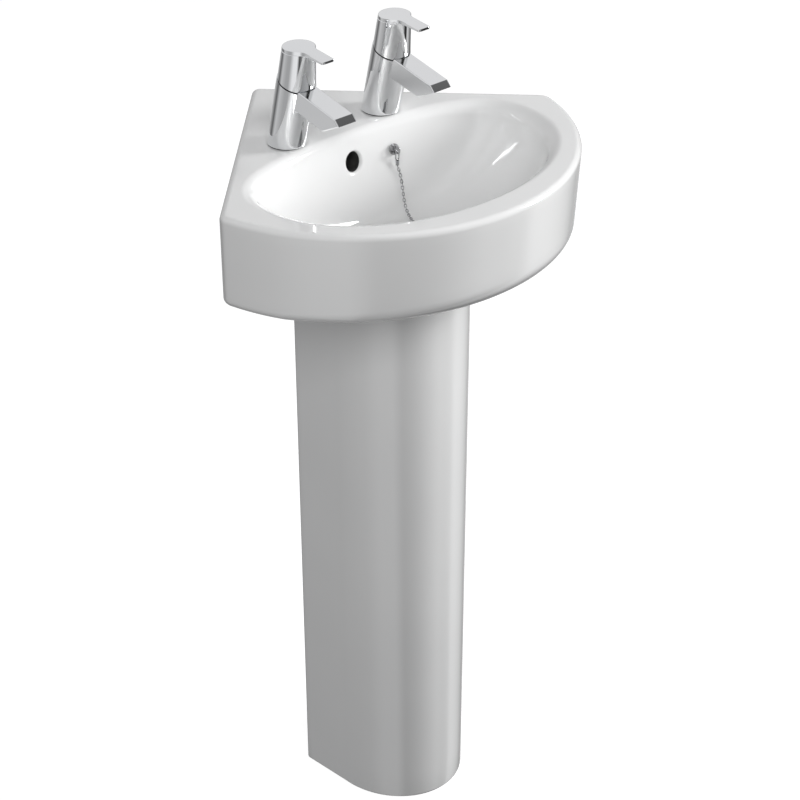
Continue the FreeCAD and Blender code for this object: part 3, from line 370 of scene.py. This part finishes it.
def finish_cad_nodes():
    """Every CAD node takes the finish of the record's material slot that lists it; the chain's small
    parts take the chrome darkened as painted shade instead.
    """
    for part in frame["record"]["subparts"]:
        shape = frame["nodes"][part["node"]]
        shape.data.materials.clear()
        chain_part_painted_shade = part["node"] in CHAIN_NODES
        shape.data.materials.append(CHAIN_CHROME_PAINTED_SHADE if chain_part_painted_shade else FINISHES[part["material_slot"]])


# ======== mesh building ========

def new_piece(name, points, faces, material, body="fixed", sharp=SMOOTH_LIMIT):
    mesh = bpy.data.meshes.new(name)
    mesh.from_pydata([tuple(p) for p in points], [], faces)
    mesh.validate()
    mesh.shade_smooth()
    mesh.set_sharp_from_angle(angle=sharp)
    mesh.materials.append(material)
    piece = bpy.data.objects.new(name, mesh)
    bpy.context.scene.collection.objects.link(piece)
    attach(piece, body)
    return piece


def ring_faces(rings, count, closed=True):
    """Quads between neighbouring rings of count points."""
    faces = []
    for ring in range(rings - 1):
        low = ring * count
        for i in range(count if closed else count - 1):
            j = (i + 1) % count
            faces.append((low + i, low + j, low + count + j, low + count + i))
    return faces


def lerp(a, b, share):
    """The value a share of the way from a to b."""
    return a + (b - a) * share


# ======== basin ========

def basin_outline(front_inset):
    """Plan points (x, out) of the basin's edge, each with its outward normal."""
    front = FRONT_RADIUS - front_inset
    half = END_RADIUS / ROOT2
    shift = half - FRONT_CENTRE
    rest = half ** 2 + shift ** 2 - (front - END_RADIUS) ** 2
    along = (FRONT_CENTRE + math.sqrt(FRONT_CENTRE ** 2 - 2.0 * rest)) / 2.0
    end = Vector((along - half, along + half))
    front_start = math.atan2(end.y - FRONT_CENTRE, end.x)
    back = BACK_RADIUS / ROOT2
    points = []

    def arc(centre, radius, start, stop, steps):
        for i in range(steps):
            angle = lerp(start, stop, i / steps)
            normal = Vector((math.cos(angle), math.sin(angle)))
            points.append((centre + normal * radius, normal))

    def line(start, stop, normal, steps):
        for i in range(steps):
            points.append((start.lerp(stop, i / steps), normal))

    right = Vector((1.0, -1.0)) / ROOT2
    left = Vector((-1.0, -1.0)) / ROOT2
    line(Vector((back, back)), Vector((along, along)), right, 48)
    arc(end, END_RADIUS, -math.pi / 4.0, front_start, 20)
    arc(Vector((0.0, FRONT_CENTRE)), front, front_start, math.pi - front_start, 150)
    arc(Vector((-end.x, end.y)), END_RADIUS, math.pi - front_start, math.pi * 1.25, 20)
    line(Vector((-along, along)), Vector((-back, back)), left, 48)
    arc(Vector((0.0, BACK_RADIUS * ROOT2)), BACK_RADIUS, -math.pi * 0.75, -math.pi * 0.25, 14)
    return points


TOP_EDGE = basin_outline(0.0)
LOW_EDGE = basin_outline(SKIRT_DRAFT)
COLUMNS = len(TOP_EDGE)


def skirt_point(column, z, inset):
    """A point at a height on the skirt, moved in from its face."""
    share = (RIM - z) / SKIRT_HEIGHT
    point = TOP_EDGE[column][0].lerp(LOW_EDGE[column][0], share)
    normal = TOP_EDGE[column][1].lerp(LOW_EDGE[column][1], share).normalized()
    point = point - normal * inset
    return place(point.x, point.y, z)


def lower_radius(column):
    """The radius of the skirt's lower edge: large in front, smaller at the ends and along the walls."""
    point, normal = LOW_EDGE[column]
    middle = max(0.0, 1.0 - abs(point.x) / (FRONT_RADIUS * 0.85))
    front = lerp(EDGE_END, EDGE_FRONT, math.sin(middle * QUARTER) ** 0.7)
    facing = (normal.y + 1.0 / ROOT2) / (0.35 + 1.0 / ROOT2)
    facing = min(max(facing, 0.0), 1.0)
    return lerp(EDGE_WALL, front, facing * facing * (3.0 - 2.0 * facing))


def bowl_sizes(drop):
    """Half width, front reach, back reach, centre and power of the bowl's outline at a depth."""
    share = min(drop / BOWL_DEPTH, 1.0)
    side = math.sqrt(1.0 - share ** 1.6)
    front = math.sqrt(1.0 - share ** 2.0)
    back = math.sqrt(1.0 - share ** 1.4)
    return (lerp(FLOOR_RADIUS, BOWL_HALF_WIDTH, side), lerp(FLOOR_RADIUS, BOWL_FRONT, front),
            lerp(FLOOR_RADIUS, BOWL_BACK, back), lerp(WASTE_OUT, BOWL_OUT, front),
            lerp(2.0, BOWL_POWER, back))


def bowl_angle(column):
    """The bowl's own angle at which it faces this point of the outer edge."""
    point = TOP_EDGE[column][0]
    half, front, back, centre, power = bowl_sizes(0.0)
    forward = point.y - centre
    if forward >= 0.0:
        return math.atan2(forward / front, point.x / half)
    across = (abs(point.x) / half) ** (power / 2.0)
    return math.atan2(-(-forward / back) ** (power / 2.0), math.copysign(across, point.x))


BOWL_ANGLES = [bowl_angle(column) for column in range(COLUMNS)]


def bowl_edge(column):
    """The radius of the bowl's rounded edge, which is widest at the two ends."""
    angle = BOWL_ANGLES[column]
    middle = BOWL_EDGE_FRONT if angle > 0.0 else BOWL_EDGE_BACK
    return lerp(middle, BOWL_EDGE_END, abs(math.cos(angle)) ** 1.5)


def bowl_ring_point(column, drop):
    """The point of the bowl's wall at a depth, at one column."""
    half, front, back, centre, power = bowl_sizes(drop)
    across, forward = math.cos(BOWL_ANGLES[column]), math.sin(BOWL_ANGLES[column])
    if forward >= 0.0:
        return place(half * across, centre + front * forward, RIM - drop)
    return place(half * math.copysign(abs(across) ** (2.0 / power), across),
                 centre - back * abs(forward) ** (2.0 / power), RIM - drop)


def bowl_ring(drop):
    """The bowl's outline at a depth."""
    return [bowl_ring_point(column, drop) for column in range(COLUMNS)]


def edge_ring(turn):
    """A ring on the bowl's rounded edge: turn 0 is on the deck, and a right angle on the bowl's wall."""
    ring = []
    rim = bowl_ring(0.0)
    for i, point in enumerate(rim):
        radius = bowl_edge(i)
        wall = bowl_ring_point(i, radius)
        run = rim[(i + 1) % COLUMNS] - rim[i - 1]
        outward = Vector((-run.y, run.x, 0.0)).normalized()
        grow = radius * (1.0 - math.sin(turn))
        drop = radius * (1.0 - math.cos(turn))
        spot = point.lerp(Vector((wall.x, wall.y, point.z)), drop / radius) + outward * grow
        ring.append(Vector((spot.x, spot.y, RIM - drop)))
    return ring


def round_ring(radius, z):
    return [place(radius * math.cos(a), WASTE_OUT + radius * math.sin(a), z) for a in BOWL_ANGLES]


def back_wall(x, drop):
    """A point of the bowl's back wall."""
    half, front, back, centre, power = bowl_sizes(drop)
    out = centre - back * (1.0 - abs(x / half) ** power) ** (1.0 / power)
    return place(x, out, RIM - drop)


def bowl_rings():
    """The bowl from its rounded edge on the deck down to the waste hole."""
    rings = []
    for step in range(11):
        rings.append(edge_ring(QUARTER * step / 11))
    starts = [math.asin(bowl_edge(column) / BOWL_DEPTH) for column in range(COLUMNS)]
    for step in range(46):
        drops = [BOWL_DEPTH * math.sin(lerp(start, QUARTER, step / 45)) for start in starts]
        rings.append([bowl_ring_point(column, drop) for column, drop in enumerate(drops)])
    rings.append(round_ring(RECESS_RADIUS + 0.0015, FLOOR))
    rings.append(round_ring(RECESS_RADIUS + 0.0004, FLOOR - 0.0004))
    rings.append(round_ring(RECESS_RADIUS, FLOOR - 0.0015))
    rings.append(round_ring(RECESS_RADIUS, FLOOR - RECESS_DEPTH))
    rings.append(round_ring(WASTE_HOLE, FLOOR - RECESS_DEPTH))
    rings.append(round_ring(WASTE_HOLE, BOSS_BOTTOM))
    return rings


def outside_rings():
    """From under the waste boss out to the skirt, up its face and over the rim to the deck."""
    rings = [round_ring(BOSS_RADIUS - 0.003, BOSS_BOTTOM), round_ring(BOSS_RADIUS, BOSS_BOTTOM + 0.003),
             round_ring(BOSS_RADIUS, SKIRT_BOTTOM - 0.004),
             round_ring(BOSS_RADIUS + 0.004, SKIRT_BOTTOM)]
    radii = [lower_radius(column) for column in range(COLUMNS)]
    for step in range(11):
        angle = QUARTER * step / 10
        rise, inset = 1.0 - math.cos(angle), 1.0 - math.sin(angle)
        rings.append([skirt_point(c, SKIRT_BOTTOM + r * rise, r * inset) for c, r in enumerate(radii)])
    for step in range(1, 8):
        rings.append([skirt_point(c, lerp(SKIRT_BOTTOM + r, RIM - RIM_EDGE, step / 8), 0.0)
                      for c, r in enumerate(radii)])
    for step in range(9):
        angle = QUARTER * step / 8
        z = RIM - RIM_EDGE * (1.0 - math.sin(angle))
        rings.append([skirt_point(c, z, RIM_EDGE * (1.0 - math.cos(angle))) for c in range(COLUMNS)])
    return rings


def make_basin():
    outside = outside_rings()
    inside = bowl_rings()
    deck = [[p.lerp(q, share) for p, q in zip(outside[-1], inside[0])] for share in (0.08, 0.5, 0.92)]
    rings = outside + deck + inside
    points = [p for ring in rings for p in ring]
    faces = ring_faces(len(rings), COLUMNS)
    last = (len(rings) - 1) * COLUMNS
    faces += [(last + i, last + (i + 1) % COLUMNS, (i + 1) % COLUMNS, i) for i in range(COLUMNS)]
    first_bowl = len(outside) + len(deck)
    points, faces, painted_shade_start = overflow_opening(points, faces, rings, first_bowl)
    basin = new_piece("china_basin", points, faces, CHINA)
    # the deep duct faces take the near-black material, painted shade inside the overflow duct
    basin.data.materials.append(DUCT_PAINTED_SHADE)
    for face in basin.data.polygons:
        if max(face.vertices) >= painted_shade_start:
            face.material_index = 1
    return basin


def overflow_opening(points, faces, rings, first_bowl):
    """Swaps a patch of the bowl's back wall for rings that close in on the overflow and turn into it."""
    middle = min(range(COLUMNS), key=lambda c: abs(BOWL_ANGLES[c] + QUARTER))

    def x_at(column):
        return rings[first_bowl + 20][column % COLUMNS].x

    reach = OVERFLOW_HALF_WIDTH + OVERFLOW_LIP + OVERFLOW_PATCH
    left = middle
    while abs(x_at(left)) < reach:
        left += 1
    right = middle
    while abs(x_at(right)) < reach:
        right -= 1
    if x_at(left) > x_at(right):
        left, right = right, left
    step = 1 if left < right else -1
    columns = [c % COLUMNS for c in range(left, right + step, step)]
    tall = OVERFLOW_HALF_HEIGHT + OVERFLOW_LIP + OVERFLOW_PATCH
    heights = [RIM - ring[middle].z for ring in rings[first_bowl:]]
    top = max(i for i, h in enumerate(heights) if h < OVERFLOW_DROP - tall) + first_bowl
    low = min(i for i, h in enumerate(heights) if h > OVERFLOW_DROP + tall) + first_bowl
    gone = set()
    for ring in range(top, low):
        for a, b in zip(columns, columns[1:]):
            gone.add(frozenset((ring * COLUMNS + a, ring * COLUMNS + b,
                                (ring + 1) * COLUMNS + a, (ring + 1) * COLUMNS + b)))
    faces = [f for f in faces if frozenset(f) not in gone]
    border = [top * COLUMNS + c for c in columns]
    border += [r * COLUMNS + columns[-1] for r in range(top + 1, low + 1)]
    border += [low * COLUMNS + c for c in reversed(columns[:-1])]
    border += [r * COLUMNS + columns[0] for r in range(low - 1, top, -1)]
    count = len(border)
    edge = [(points[i].x, RIM - points[i].z - OVERFLOW_DROP) for i in border]
    turns = [math.atan2(drop / OVERFLOW_HALF_HEIGHT, x / OVERFLOW_HALF_WIDTH) for x, drop in edge]

    def oval(angle, grow):
        return ((OVERFLOW_HALF_WIDTH + grow) * math.cos(angle),
                (OVERFLOW_HALF_HEIGHT + grow) * math.sin(angle))

    loops = []
    for step_in in range(1, CLOSING_LOOPS + 1):
        share = step_in / CLOSING_LOOPS
        loop = []
        for (x, drop), angle in zip(edge, turns):
            ox, od = oval(angle, OVERFLOW_LIP)
            loop.append(back_wall(lerp(x, ox, share), OVERFLOW_DROP + lerp(drop, od, share)))
        loops.append(loop)
    for step_in in range(1, LIP_LOOPS + 1):
        angle_in = QUARTER * step_in / LIP_LOOPS
        grow = OVERFLOW_LIP * (1.0 - math.sin(angle_in))
        sink = OVERFLOW_LIP * (1.0 - math.cos(angle_in))
        loop = []
        for angle in turns:
            x, drop = oval(angle, grow)
            loop.append(back_wall(x, OVERFLOW_DROP + drop) + Vector((0.0, sink, 0.0)))
        loops.append(loop)
    mouth = loops[-1]
    for depth in (0.12, 0.45, 1.0):
        loops.append([Vector((p.x, lerp(p.y, CORNER_Y - DUCT_BACK, depth), p.z)) for p in mouth])
    start = len(points)
    points = points + [p for loop in loops for p in loop]
    indices = [border] + [[start + k * count + i for i in range(count)] for k in range(len(loops))]
    for outer, inner in zip(indices, indices[1:]):
        for i in range(count):
            j = (i + 1) % count
            faces.append((outer[i], outer[j], inner[j], inner[i]))
    faces.append(tuple(indices[-1]))
    return points, faces, start + (CLOSING_LOOPS + LIP_LOOPS) * count


def cut_well(basin):
    """Hollows out the three-cornered space under the deck, where the taps' tails and nuts are."""
    apex = WELL_WALL * ROOT2
    corners = [(-WELL_BLUNT, apex + WELL_BLUNT), (WELL_BLUNT, apex + WELL_BLUNT),
               (WELL_OUT - apex, WELL_OUT), (apex - WELL_OUT, WELL_OUT)]
    points = [place(x, out, z) for z in (SKIRT_BOTTOM - WELL_OVERCUT, WELL_TOP) for x, out in corners]
    mesh = bpy.data.meshes.new("well")
    mesh.from_pydata([tuple(p) for p in points], [],
                     [(3, 2, 1, 0), (4, 5, 6, 7), (0, 1, 5, 4), (1, 2, 6, 5), (2, 3, 7, 6),
                      (3, 0, 4, 7)])
    cutter = bpy.data.objects.new("well", mesh)
    bpy.context.scene.collection.objects.link(cutter)
    cut = basin.modifiers.new("well", "BOOLEAN")
    cut.operation = "DIFFERENCE"
    cut.solver = "EXACT"
    cut.object = cutter
    depsgraph = bpy.context.evaluated_depsgraph_get()
    hollowed = bpy.data.meshes.new_from_object(basin.evaluated_get(depsgraph))
    basin.modifiers.clear()
    basin.data = hollowed
    hollowed.shade_smooth()
    hollowed.set_sharp_from_angle(angle=SMOOTH_LIMIT)
    bpy.data.objects.remove(cutter)
    bpy.data.meshes.remove(mesh)


basin = make_basin()
cut_well(basin)
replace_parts(basin, "basin")


# ======== pedestal ========

def pedestal_path(z):
    """Points (x, out) with outward normals round the outside, from the left back edge to the right."""
    grow = 1.0 + PEDESTAL_TAPER * z
    half = PEDESTAL_HALF_WIDTH * grow
    shoulder = PEDESTAL_FRONT - PEDESTAL_NOSE
    back_x = half + (shoulder - PEDESTAL_BACK) * math.tan(PEDESTAL_SPLAY)
    path = []
    side_steps = 8
    for step in range(side_steps):
        share = step / side_steps
        normal = Vector((-math.cos(PEDESTAL_SPLAY), -math.sin(PEDESTAL_SPLAY)))
        point = Vector((lerp(-back_x, -half, share), lerp(PEDESTAL_BACK, shoulder, share)))
        path.append((point, normal))
    nose_steps = 72
    for step in range(nose_steps + 1):
        angle = math.pi * (1.0 - step / nose_steps)
        point = Vector((half * math.cos(angle), shoulder + PEDESTAL_NOSE * math.sin(angle)))
        normal = Vector((math.cos(angle) / half, math.sin(angle) / PEDESTAL_NOSE)).normalized()
        path.append((point, normal))
    for point, normal in reversed(path[:side_steps]):
        path.append((Vector((-point.x, point.y)), Vector((-normal.x, normal.y))))
    return path


def pedestal_profile():
    """The wall's closed section as (inset, height): outside, top, inside, ledge and foot."""
    bend = 0.0045
    profile = []
    for step in range(7):
        angle = QUARTER * step / 6
        profile.append((bend * (1.0 - math.sin(angle)), bend * (1.0 - math.cos(angle))))
    profile += [(0.0, PEDESTAL_TOP * share) for share in (0.05, 0.2, 0.4, 0.6, 0.8, 0.95)]
    profile += [(0.0, PEDESTAL_TOP - 0.002), (0.0006, PEDESTAL_TOP - 0.0006), (0.002, PEDESTAL_TOP),
                (PEDESTAL_WALL - 0.002, PEDESTAL_TOP), (PEDESTAL_WALL, PEDESTAL_TOP - 0.002)]
    profile += [(PEDESTAL_WALL, PEDESTAL_TOP * share) for share in (0.7, 0.4, 0.1)]
    profile += [(PEDESTAL_WALL, FOOT_THICKNESS + 0.006), (PEDESTAL_WALL + 0.006, FOOT_THICKNESS),
                (FOOT_LEDGE - 0.002, FOOT_THICKNESS), (FOOT_LEDGE, FOOT_THICKNESS - 0.002),
                (FOOT_LEDGE, 0.0)]
    return profile


def make_pedestal():
    """The wall's section swept round the pedestal, with its two back edges rounded over."""
    profile = pedestal_profile()
    paths = {z: pedestal_path(z) for _, z in profile}
    stations = len(paths[0.0])
    middle = PEDESTAL_WALL / 2.0
    turns = [QUARTER * step / 5 for step in range(6)]
    sections = [(0, math.cos(turn), middle * math.sin(turn)) for turn in reversed(turns)]
    sections += [(station, 1.0, 0.0) for station in range(1, stations - 1)]
    sections += [(stations - 1, math.cos(turn), middle * math.sin(turn)) for turn in turns]
    rings = []
    for station, fullness, back in sections:
        ring = []
        for inset, z in profile:
            point, normal = paths[z][station]
            inward = middle + (inset - middle) * fullness
            spot = point - normal * inward
            ring.append(place(spot.x, spot.y + middle - back, z))
        rings.append(ring)
    points = [p for ring in rings for p in ring]
    faces = ring_faces(len(rings), len(profile))
    return new_piece("china_pedestal", points, faces, CHINA)


pedestal = make_pedestal()
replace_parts(pedestal, "pedestal")
finish_cad_nodes()


# ======== plug chain ========

def spline_line(points):
    """The smooth line of a NURBS spline with these control points."""
    data = bpy.data.curves.new("chain_line", "CURVE")
    data.dimensions = "3D"
    spline = data.splines.new("NURBS")
    spline.points.add(len(points) - 1)
    for knot, point in zip(spline.points, points):
        knot.co = (*point, 1.0)
    spline.order_u = 3
    spline.use_endpoint_u = True
    spline.resolution_u = 24
    curve = bpy.data.objects.new("chain_line", data)
    mesh = bpy.data.meshes.new_from_object(curve)
    line = [v.co.copy() for v in mesh.vertices]
    bpy.data.objects.remove(curve)
    bpy.data.meshes.remove(mesh)
    bpy.data.curves.remove(data)
    return line


def stations(line, pitch):
    """Evenly spaced points, about a pitch apart, each with the direction there; and the length."""
    lengths = [0.0]
    for a, b in zip(line, line[1:]):
        lengths.append(lengths[-1] + (b - a).length)
    count = round(lengths[-1] / pitch)
    found = []
    k = 0
    for i in range(count):
        target = lengths[-1] * (i + 0.5) / count
        while lengths[k + 1] < target:
            k += 1
        share = (target - lengths[k]) / (lengths[k + 1] - lengths[k])
        found.append((line[k].lerp(line[k + 1], share), (line[k + 1] - line[k]).normalized()))
    return found, lengths[-1]


def link_loop():
    """The wire's middle line round one link, as (along, across)."""
    loop = []
    for end in (1.0, -1.0):
        for step in range(LINK_END_STEPS + 1):
            angle = math.pi * (step / LINK_END_STEPS - 0.5) + (0.0 if end > 0 else math.pi)
            loop.append((end * LINK_SIDE / 2.0 + LINK_BEND * math.cos(angle),
                         LINK_BEND * math.sin(angle)))
    return loop


def make_chain():
    coupling_low, coupling_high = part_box("chain_coupling")
    start = Vector(((coupling_low[0] + coupling_high[0]) / 2.0,
                    (coupling_low[1] + coupling_high[1]) / 2.0,
                    coupling_low[2] - CHAIN_GAP))
    line = spline_line([start] + [place(*spot) for spot in CHAIN_ROUTE])
    pitch = LINK_SIDE + 2.0 * (LINK_BEND - LINK_WIRE) + LINK_SLACK
    links, total = stations(line, pitch)
    loop = link_loop()
    points, faces = [], []
    across = Vector((1.0, 0.0, 0.0))
    for number, (centre, along) in enumerate(links):
        across = (across - along * across.dot(along)).normalized()
        other = along.cross(across)
        turn = LINK_TURNS[number % 2]
        wide = across * math.cos(turn) + other * math.sin(turn)
        flat = along.cross(wide)
        first = len(points)
        for i, (a, w) in enumerate(loop):
            before, after = loop[i - 1], loop[(i + 1) % len(loop)]
            run = (along * (after[0] - before[0]) + wide * (after[1] - before[1])).normalized()
            outward = run.cross(flat)
            spot = centre + along * a + wide * w
            for step in range(WIRE_STEPS):
                angle = 2.0 * math.pi * step / WIRE_STEPS
                points.append(spot + (outward * math.cos(angle) + flat * math.sin(angle)) * LINK_WIRE)
        count = len(loop)
        for i in range(count):
            j = (i + 1) % count
            for step in range(WIRE_STEPS):
                after = (step + 1) % WIRE_STEPS
                faces.append((first + i * WIRE_STEPS + step, first + i * WIRE_STEPS + after,
                              first + j * WIRE_STEPS + after, first + j * WIRE_STEPS + step))
    mesh = bpy.data.meshes.new("link_chain")
    mesh.from_pydata([tuple(p) for p in points], [], faces)
    mesh.shade_smooth()
    # the chain takes the chrome darkened as painted shade
    mesh.materials.append(CHAIN_CHROME_PAINTED_SHADE)
    chain = bpy.data.objects.new("link_chain", mesh)
    bpy.context.scene.collection.objects.link(chain)
    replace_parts(chain, "plug_chain")
    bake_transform(chain)
    return chain


make_chain()


# ======== tap handles ========

def tongue_outline():
    """The handle's plan, as (x, forward) from the middle of its top, all the way round."""
    reach = TOP_RADIUS + TONGUE_FLARE
    side = TONGUE_HALF_WIDTH + TONGUE_FLARE
    flare = Vector((side, math.sqrt(reach ** 2 - side ** 2)))
    meet = math.atan2(flare.y, flare.x)
    half = []
    for step in range(9):
        angle = QUARTER * step / 8
        half.append(Vector((TONGUE_HALF_WIDTH - TONGUE_CORNER + TONGUE_CORNER * math.sin(angle),
                            TONGUE_REACH - TONGUE_CORNER + TONGUE_CORNER * math.cos(angle))))
    for step in range(1, 12):
        half.append(Vector((TONGUE_HALF_WIDTH, lerp(TONGUE_REACH - TONGUE_CORNER, flare.y, step / 12))))
    for step in range(13):
        angle = lerp(math.pi, meet + math.pi, step / 12)
        half.append(flare + Vector((math.cos(angle), math.sin(angle))) * TONGUE_FLARE)
    for step in range(1, 25):
        angle = lerp(meet, -QUARTER, step / 24)
        half.append(Vector((math.cos(angle), math.sin(angle))) * TOP_RADIUS)
    middle = [Vector((x * half[0].x, TONGUE_REACH)) for x in (-0.5, 0.0, 0.5)]
    left = [Vector((-p.x, p.y)) for p in reversed(half[:-1])]
    return left + middle + half


def smooth_share(value, low, high):
    share = min(max((value - low) / (high - low), 0.0), 1.0)
    return share * share * (3.0 - 2.0 * share)


def shifted(outline, inset):
    """The outline moved inwards."""
    moved = []
    count = len(outline)
    for i, point in enumerate(outline):
        run = (outline[(i + 1) % count] - outline[i - 1]).normalized()
        moved.append(point + Vector((run.y, -run.x)) * inset)
    return moved


def handle_rings():
    """Rings of (x, forward, height) from the seam's inside up to the middle of the top."""
    outline = tongue_outline()
    lean_sine, lean_cosine = math.sin(TURN_LEAN), math.cos(TURN_LEAN)
    angles = [math.atan2(p.y, p.x) for p in outline]

    def seam(radius, lift):
        return [Vector((radius * math.cos(a),
                        SEAM_FORWARD + radius * math.sin(a) * lean_cosine + lift * lean_sine,
                        SEAM_HEIGHT - radius * math.sin(a) * lean_sine + lift * lean_cosine))
                for a in angles]

    low = seam(HANDLE_RADIUS, SEAM_GAP + 0.0004)
    top = [Vector((TOP_RADIUS * math.cos(a), TOP_FORWARD + TOP_RADIUS * math.sin(a), TOP_HEIGHT))
           for a in angles]
    rings = [seam(0.013, SEAM_GAP), seam(HANDLE_RADIUS - 0.0004, SEAM_GAP), low]
    under = [a.lerp(b, 1.0 - TONGUE_ROOT / (b.z - a.z)) for a, b in zip(low, top)]
    for step in range(1, 9):
        rings.append([a.lerp(b, step / 9) for a, b in zip(low, under)])
    rings.append(under)

    def slab(inset, depth):
        ring = []
        for point, base, rim in zip(shifted(outline, inset), under, top):
            past = smooth_share(math.hypot(point.x, point.y), TOP_RADIUS, TOP_RADIUS + 0.008)
            thick = lerp(TONGUE_ROOT, TONGUE_TIP, smooth_share(point.y, 0.015, TONGUE_REACH))
            dip = TONGUE_DIP * smooth_share(point.y, 0.018, TONGUE_REACH + 0.004)
            slip = (base - rim) * depth * (1.0 - past)
            ring.append(Vector((point.x + slip.x, TOP_FORWARD + point.y + slip.y,
                                TOP_HEIGHT - thick * depth - dip)))
        return ring

    brim = slab(0.0012, 1.0)
    for share in (0.25, 0.5, 0.75):
        rings.append([a.lerp(b, share) for a, b in zip(under, brim)])
    rings.append([a if (a - b).length < 0.0016 else b for a, b in zip(under, brim)])
    for inset, depth in ((0.0004, 0.93), (0.0, 0.80), (0.0, 0.5), (0.0, 0.20), (0.0003, 0.08),
                         (0.0008, 0.015), (0.0014, 0.0)):
        rings.append(slab(inset, depth))
    rim = rings[-1]
    for share in (0.85, 0.65, 0.45, 0.25, 0.08):
        ring = []
        for point in rim:
            x, forward = point.x * share, (point.y - TOP_FORWARD) * share
            dip = TONGUE_DIP * smooth_share(forward, 0.018, TONGUE_REACH + 0.004)
            ring.append(Vector((x, TOP_FORWARD + forward, TOP_HEIGHT - dip)))
        rings.append(ring)
    return rings


def make_handle(name, side, body):
    rings = handle_rings()
    count = len(rings[0])
    points = [place(side * TAP_X + p.x, TAP_OUT + p.y, RIM + p.z) for ring in rings for p in ring]
    faces = ring_faces(len(rings), count)
    faces.append(tuple(reversed(range(count))))
    faces.append(tuple(range((len(rings) - 1) * count, len(rings) * count)))
    return new_piece(name, points, faces, CHROME, body, sharp=HANDLE_SMOOTH_LIMIT)


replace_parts(make_handle("hot_lever", -1.0, "hot_turning"), "hot_handle")
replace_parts(make_handle("cold_lever", 1.0, "cold_turning"), "cold_handle")


# ======== room ========

def make_room():
    mesh = bpy.data.meshes.new("floor")
    corners = [(x * ROOM_FLOOR_HALF, y * ROOM_FLOOR_HALF, 0)
               for x, y in ((-1, -1), (1, -1), (1, 1), (-1, 1))]
    mesh.from_pydata(corners, [], [(0, 1, 2, 3)])
    floor = bpy.data.objects.new("floor", mesh)
    s = Shader("pale_floor", (0.35, 0.35, 0.35), 0.9)
    s.colour(s.ramp(s.noise(3.0), 0.3, 0.7, (0.33, 0.33, 0.33), (0.37, 0.37, 0.37)))
    s.main.inputs["Emission Color"].default_value = (1.0, 1.0, 1.0, 1.0)
    s.main.inputs["Emission Strength"].default_value = ROOM_FLOOR_GLOW
    s.main.inputs["Specular IOR Level"].default_value = 0.0
    mesh.materials.append(s.material)
    bpy.context.scene.collection.objects.link(floor)
    floor.visible_diffuse = False
    floor.visible_glossy = False


def area_light(name, spot, aim, size, power, in_gloss):
    data = bpy.data.lights.new(name, "AREA")
    data.shape = "RECTANGLE"
    data.size, data.size_y = size
    data.energy = power
    light = bpy.data.objects.new(name, data)
    light.location = spot
    light.rotation_mode = "QUATERNION"
    light.rotation_quaternion = (Vector(aim) - Vector(spot)).to_track_quat("-Z", "Y")
    bpy.context.scene.collection.objects.link(light)
    light.visible_glossy = in_gloss


def make_studio():
    """A dim room with bright and dark bands round it, for the chrome, and a white ceiling."""
    world = bpy.data.worlds.new("studio")
    bpy.context.scene.world = world
    world.use_nodes = True
    nodes, links = world.node_tree.nodes, world.node_tree.links
    where = nodes.new("ShaderNodeTexCoord").outputs["Generated"]
    around = nodes.new("ShaderNodeTexGradient")
    around.gradient_type = "RADIAL"
    links.new(where, around.inputs["Vector"])
    bands = nodes.new("ShaderNodeValToRGB")
    links.new(around.outputs["Fac"], bands.inputs["Fac"])
    ramp = bands.color_ramp
    while len(ramp.elements) < len(SKY_BANDS):
        ramp.elements.new(0.5)
    for element, (position, value) in zip(ramp.elements, SKY_BANDS):
        element.position = position
        element.color = (value, value, value * 1.01, 1.0)
    split = nodes.new("ShaderNodeSeparateXYZ")
    links.new(where, split.inputs["Vector"])
    rise = nodes.new("ShaderNodeMapRange")
    rise.interpolation_type = "SMOOTHSTEP"
    rise.inputs["From Min"].default_value = 0.36
    rise.inputs["From Max"].default_value = 0.70
    height = nodes.new("ShaderNodeMath")
    height.operation = "MULTIPLY_ADD"
    height.inputs[1].default_value = 0.5
    links.new(split.outputs["Y"], height.inputs[0])
    links.new(split.outputs["Z"], height.inputs[2])
    links.new(height.outputs["Value"], rise.inputs["Value"])
    sky = nodes.new("ShaderNodeMix")
    sky.data_type = "RGBA"
    links.new(rise.outputs["Result"], sky.inputs["Factor"])
    links.new(bands.outputs["Color"], sky.inputs["A"])
    sky.inputs["B"].default_value = SKY_TOP
    links.new(sky.outputs["Result"], nodes["Background"].inputs["Color"])
    gloss = nodes.new("ShaderNodeMapRange")
    gloss.inputs["To Min"].default_value = SKY_DIFFUSE
    gloss.inputs["To Max"].default_value = SKY_IN_GLOSS
    links.new(nodes.new("ShaderNodeLightPath").outputs["Is Glossy Ray"], gloss.inputs["Value"])
    links.new(gloss.outputs["Result"], nodes["Background"].inputs["Strength"])


make_room()
make_studio()
for light in LIGHTS:
    area_light(*light)
bpy.context.scene.view_settings.view_transform = "Standard"
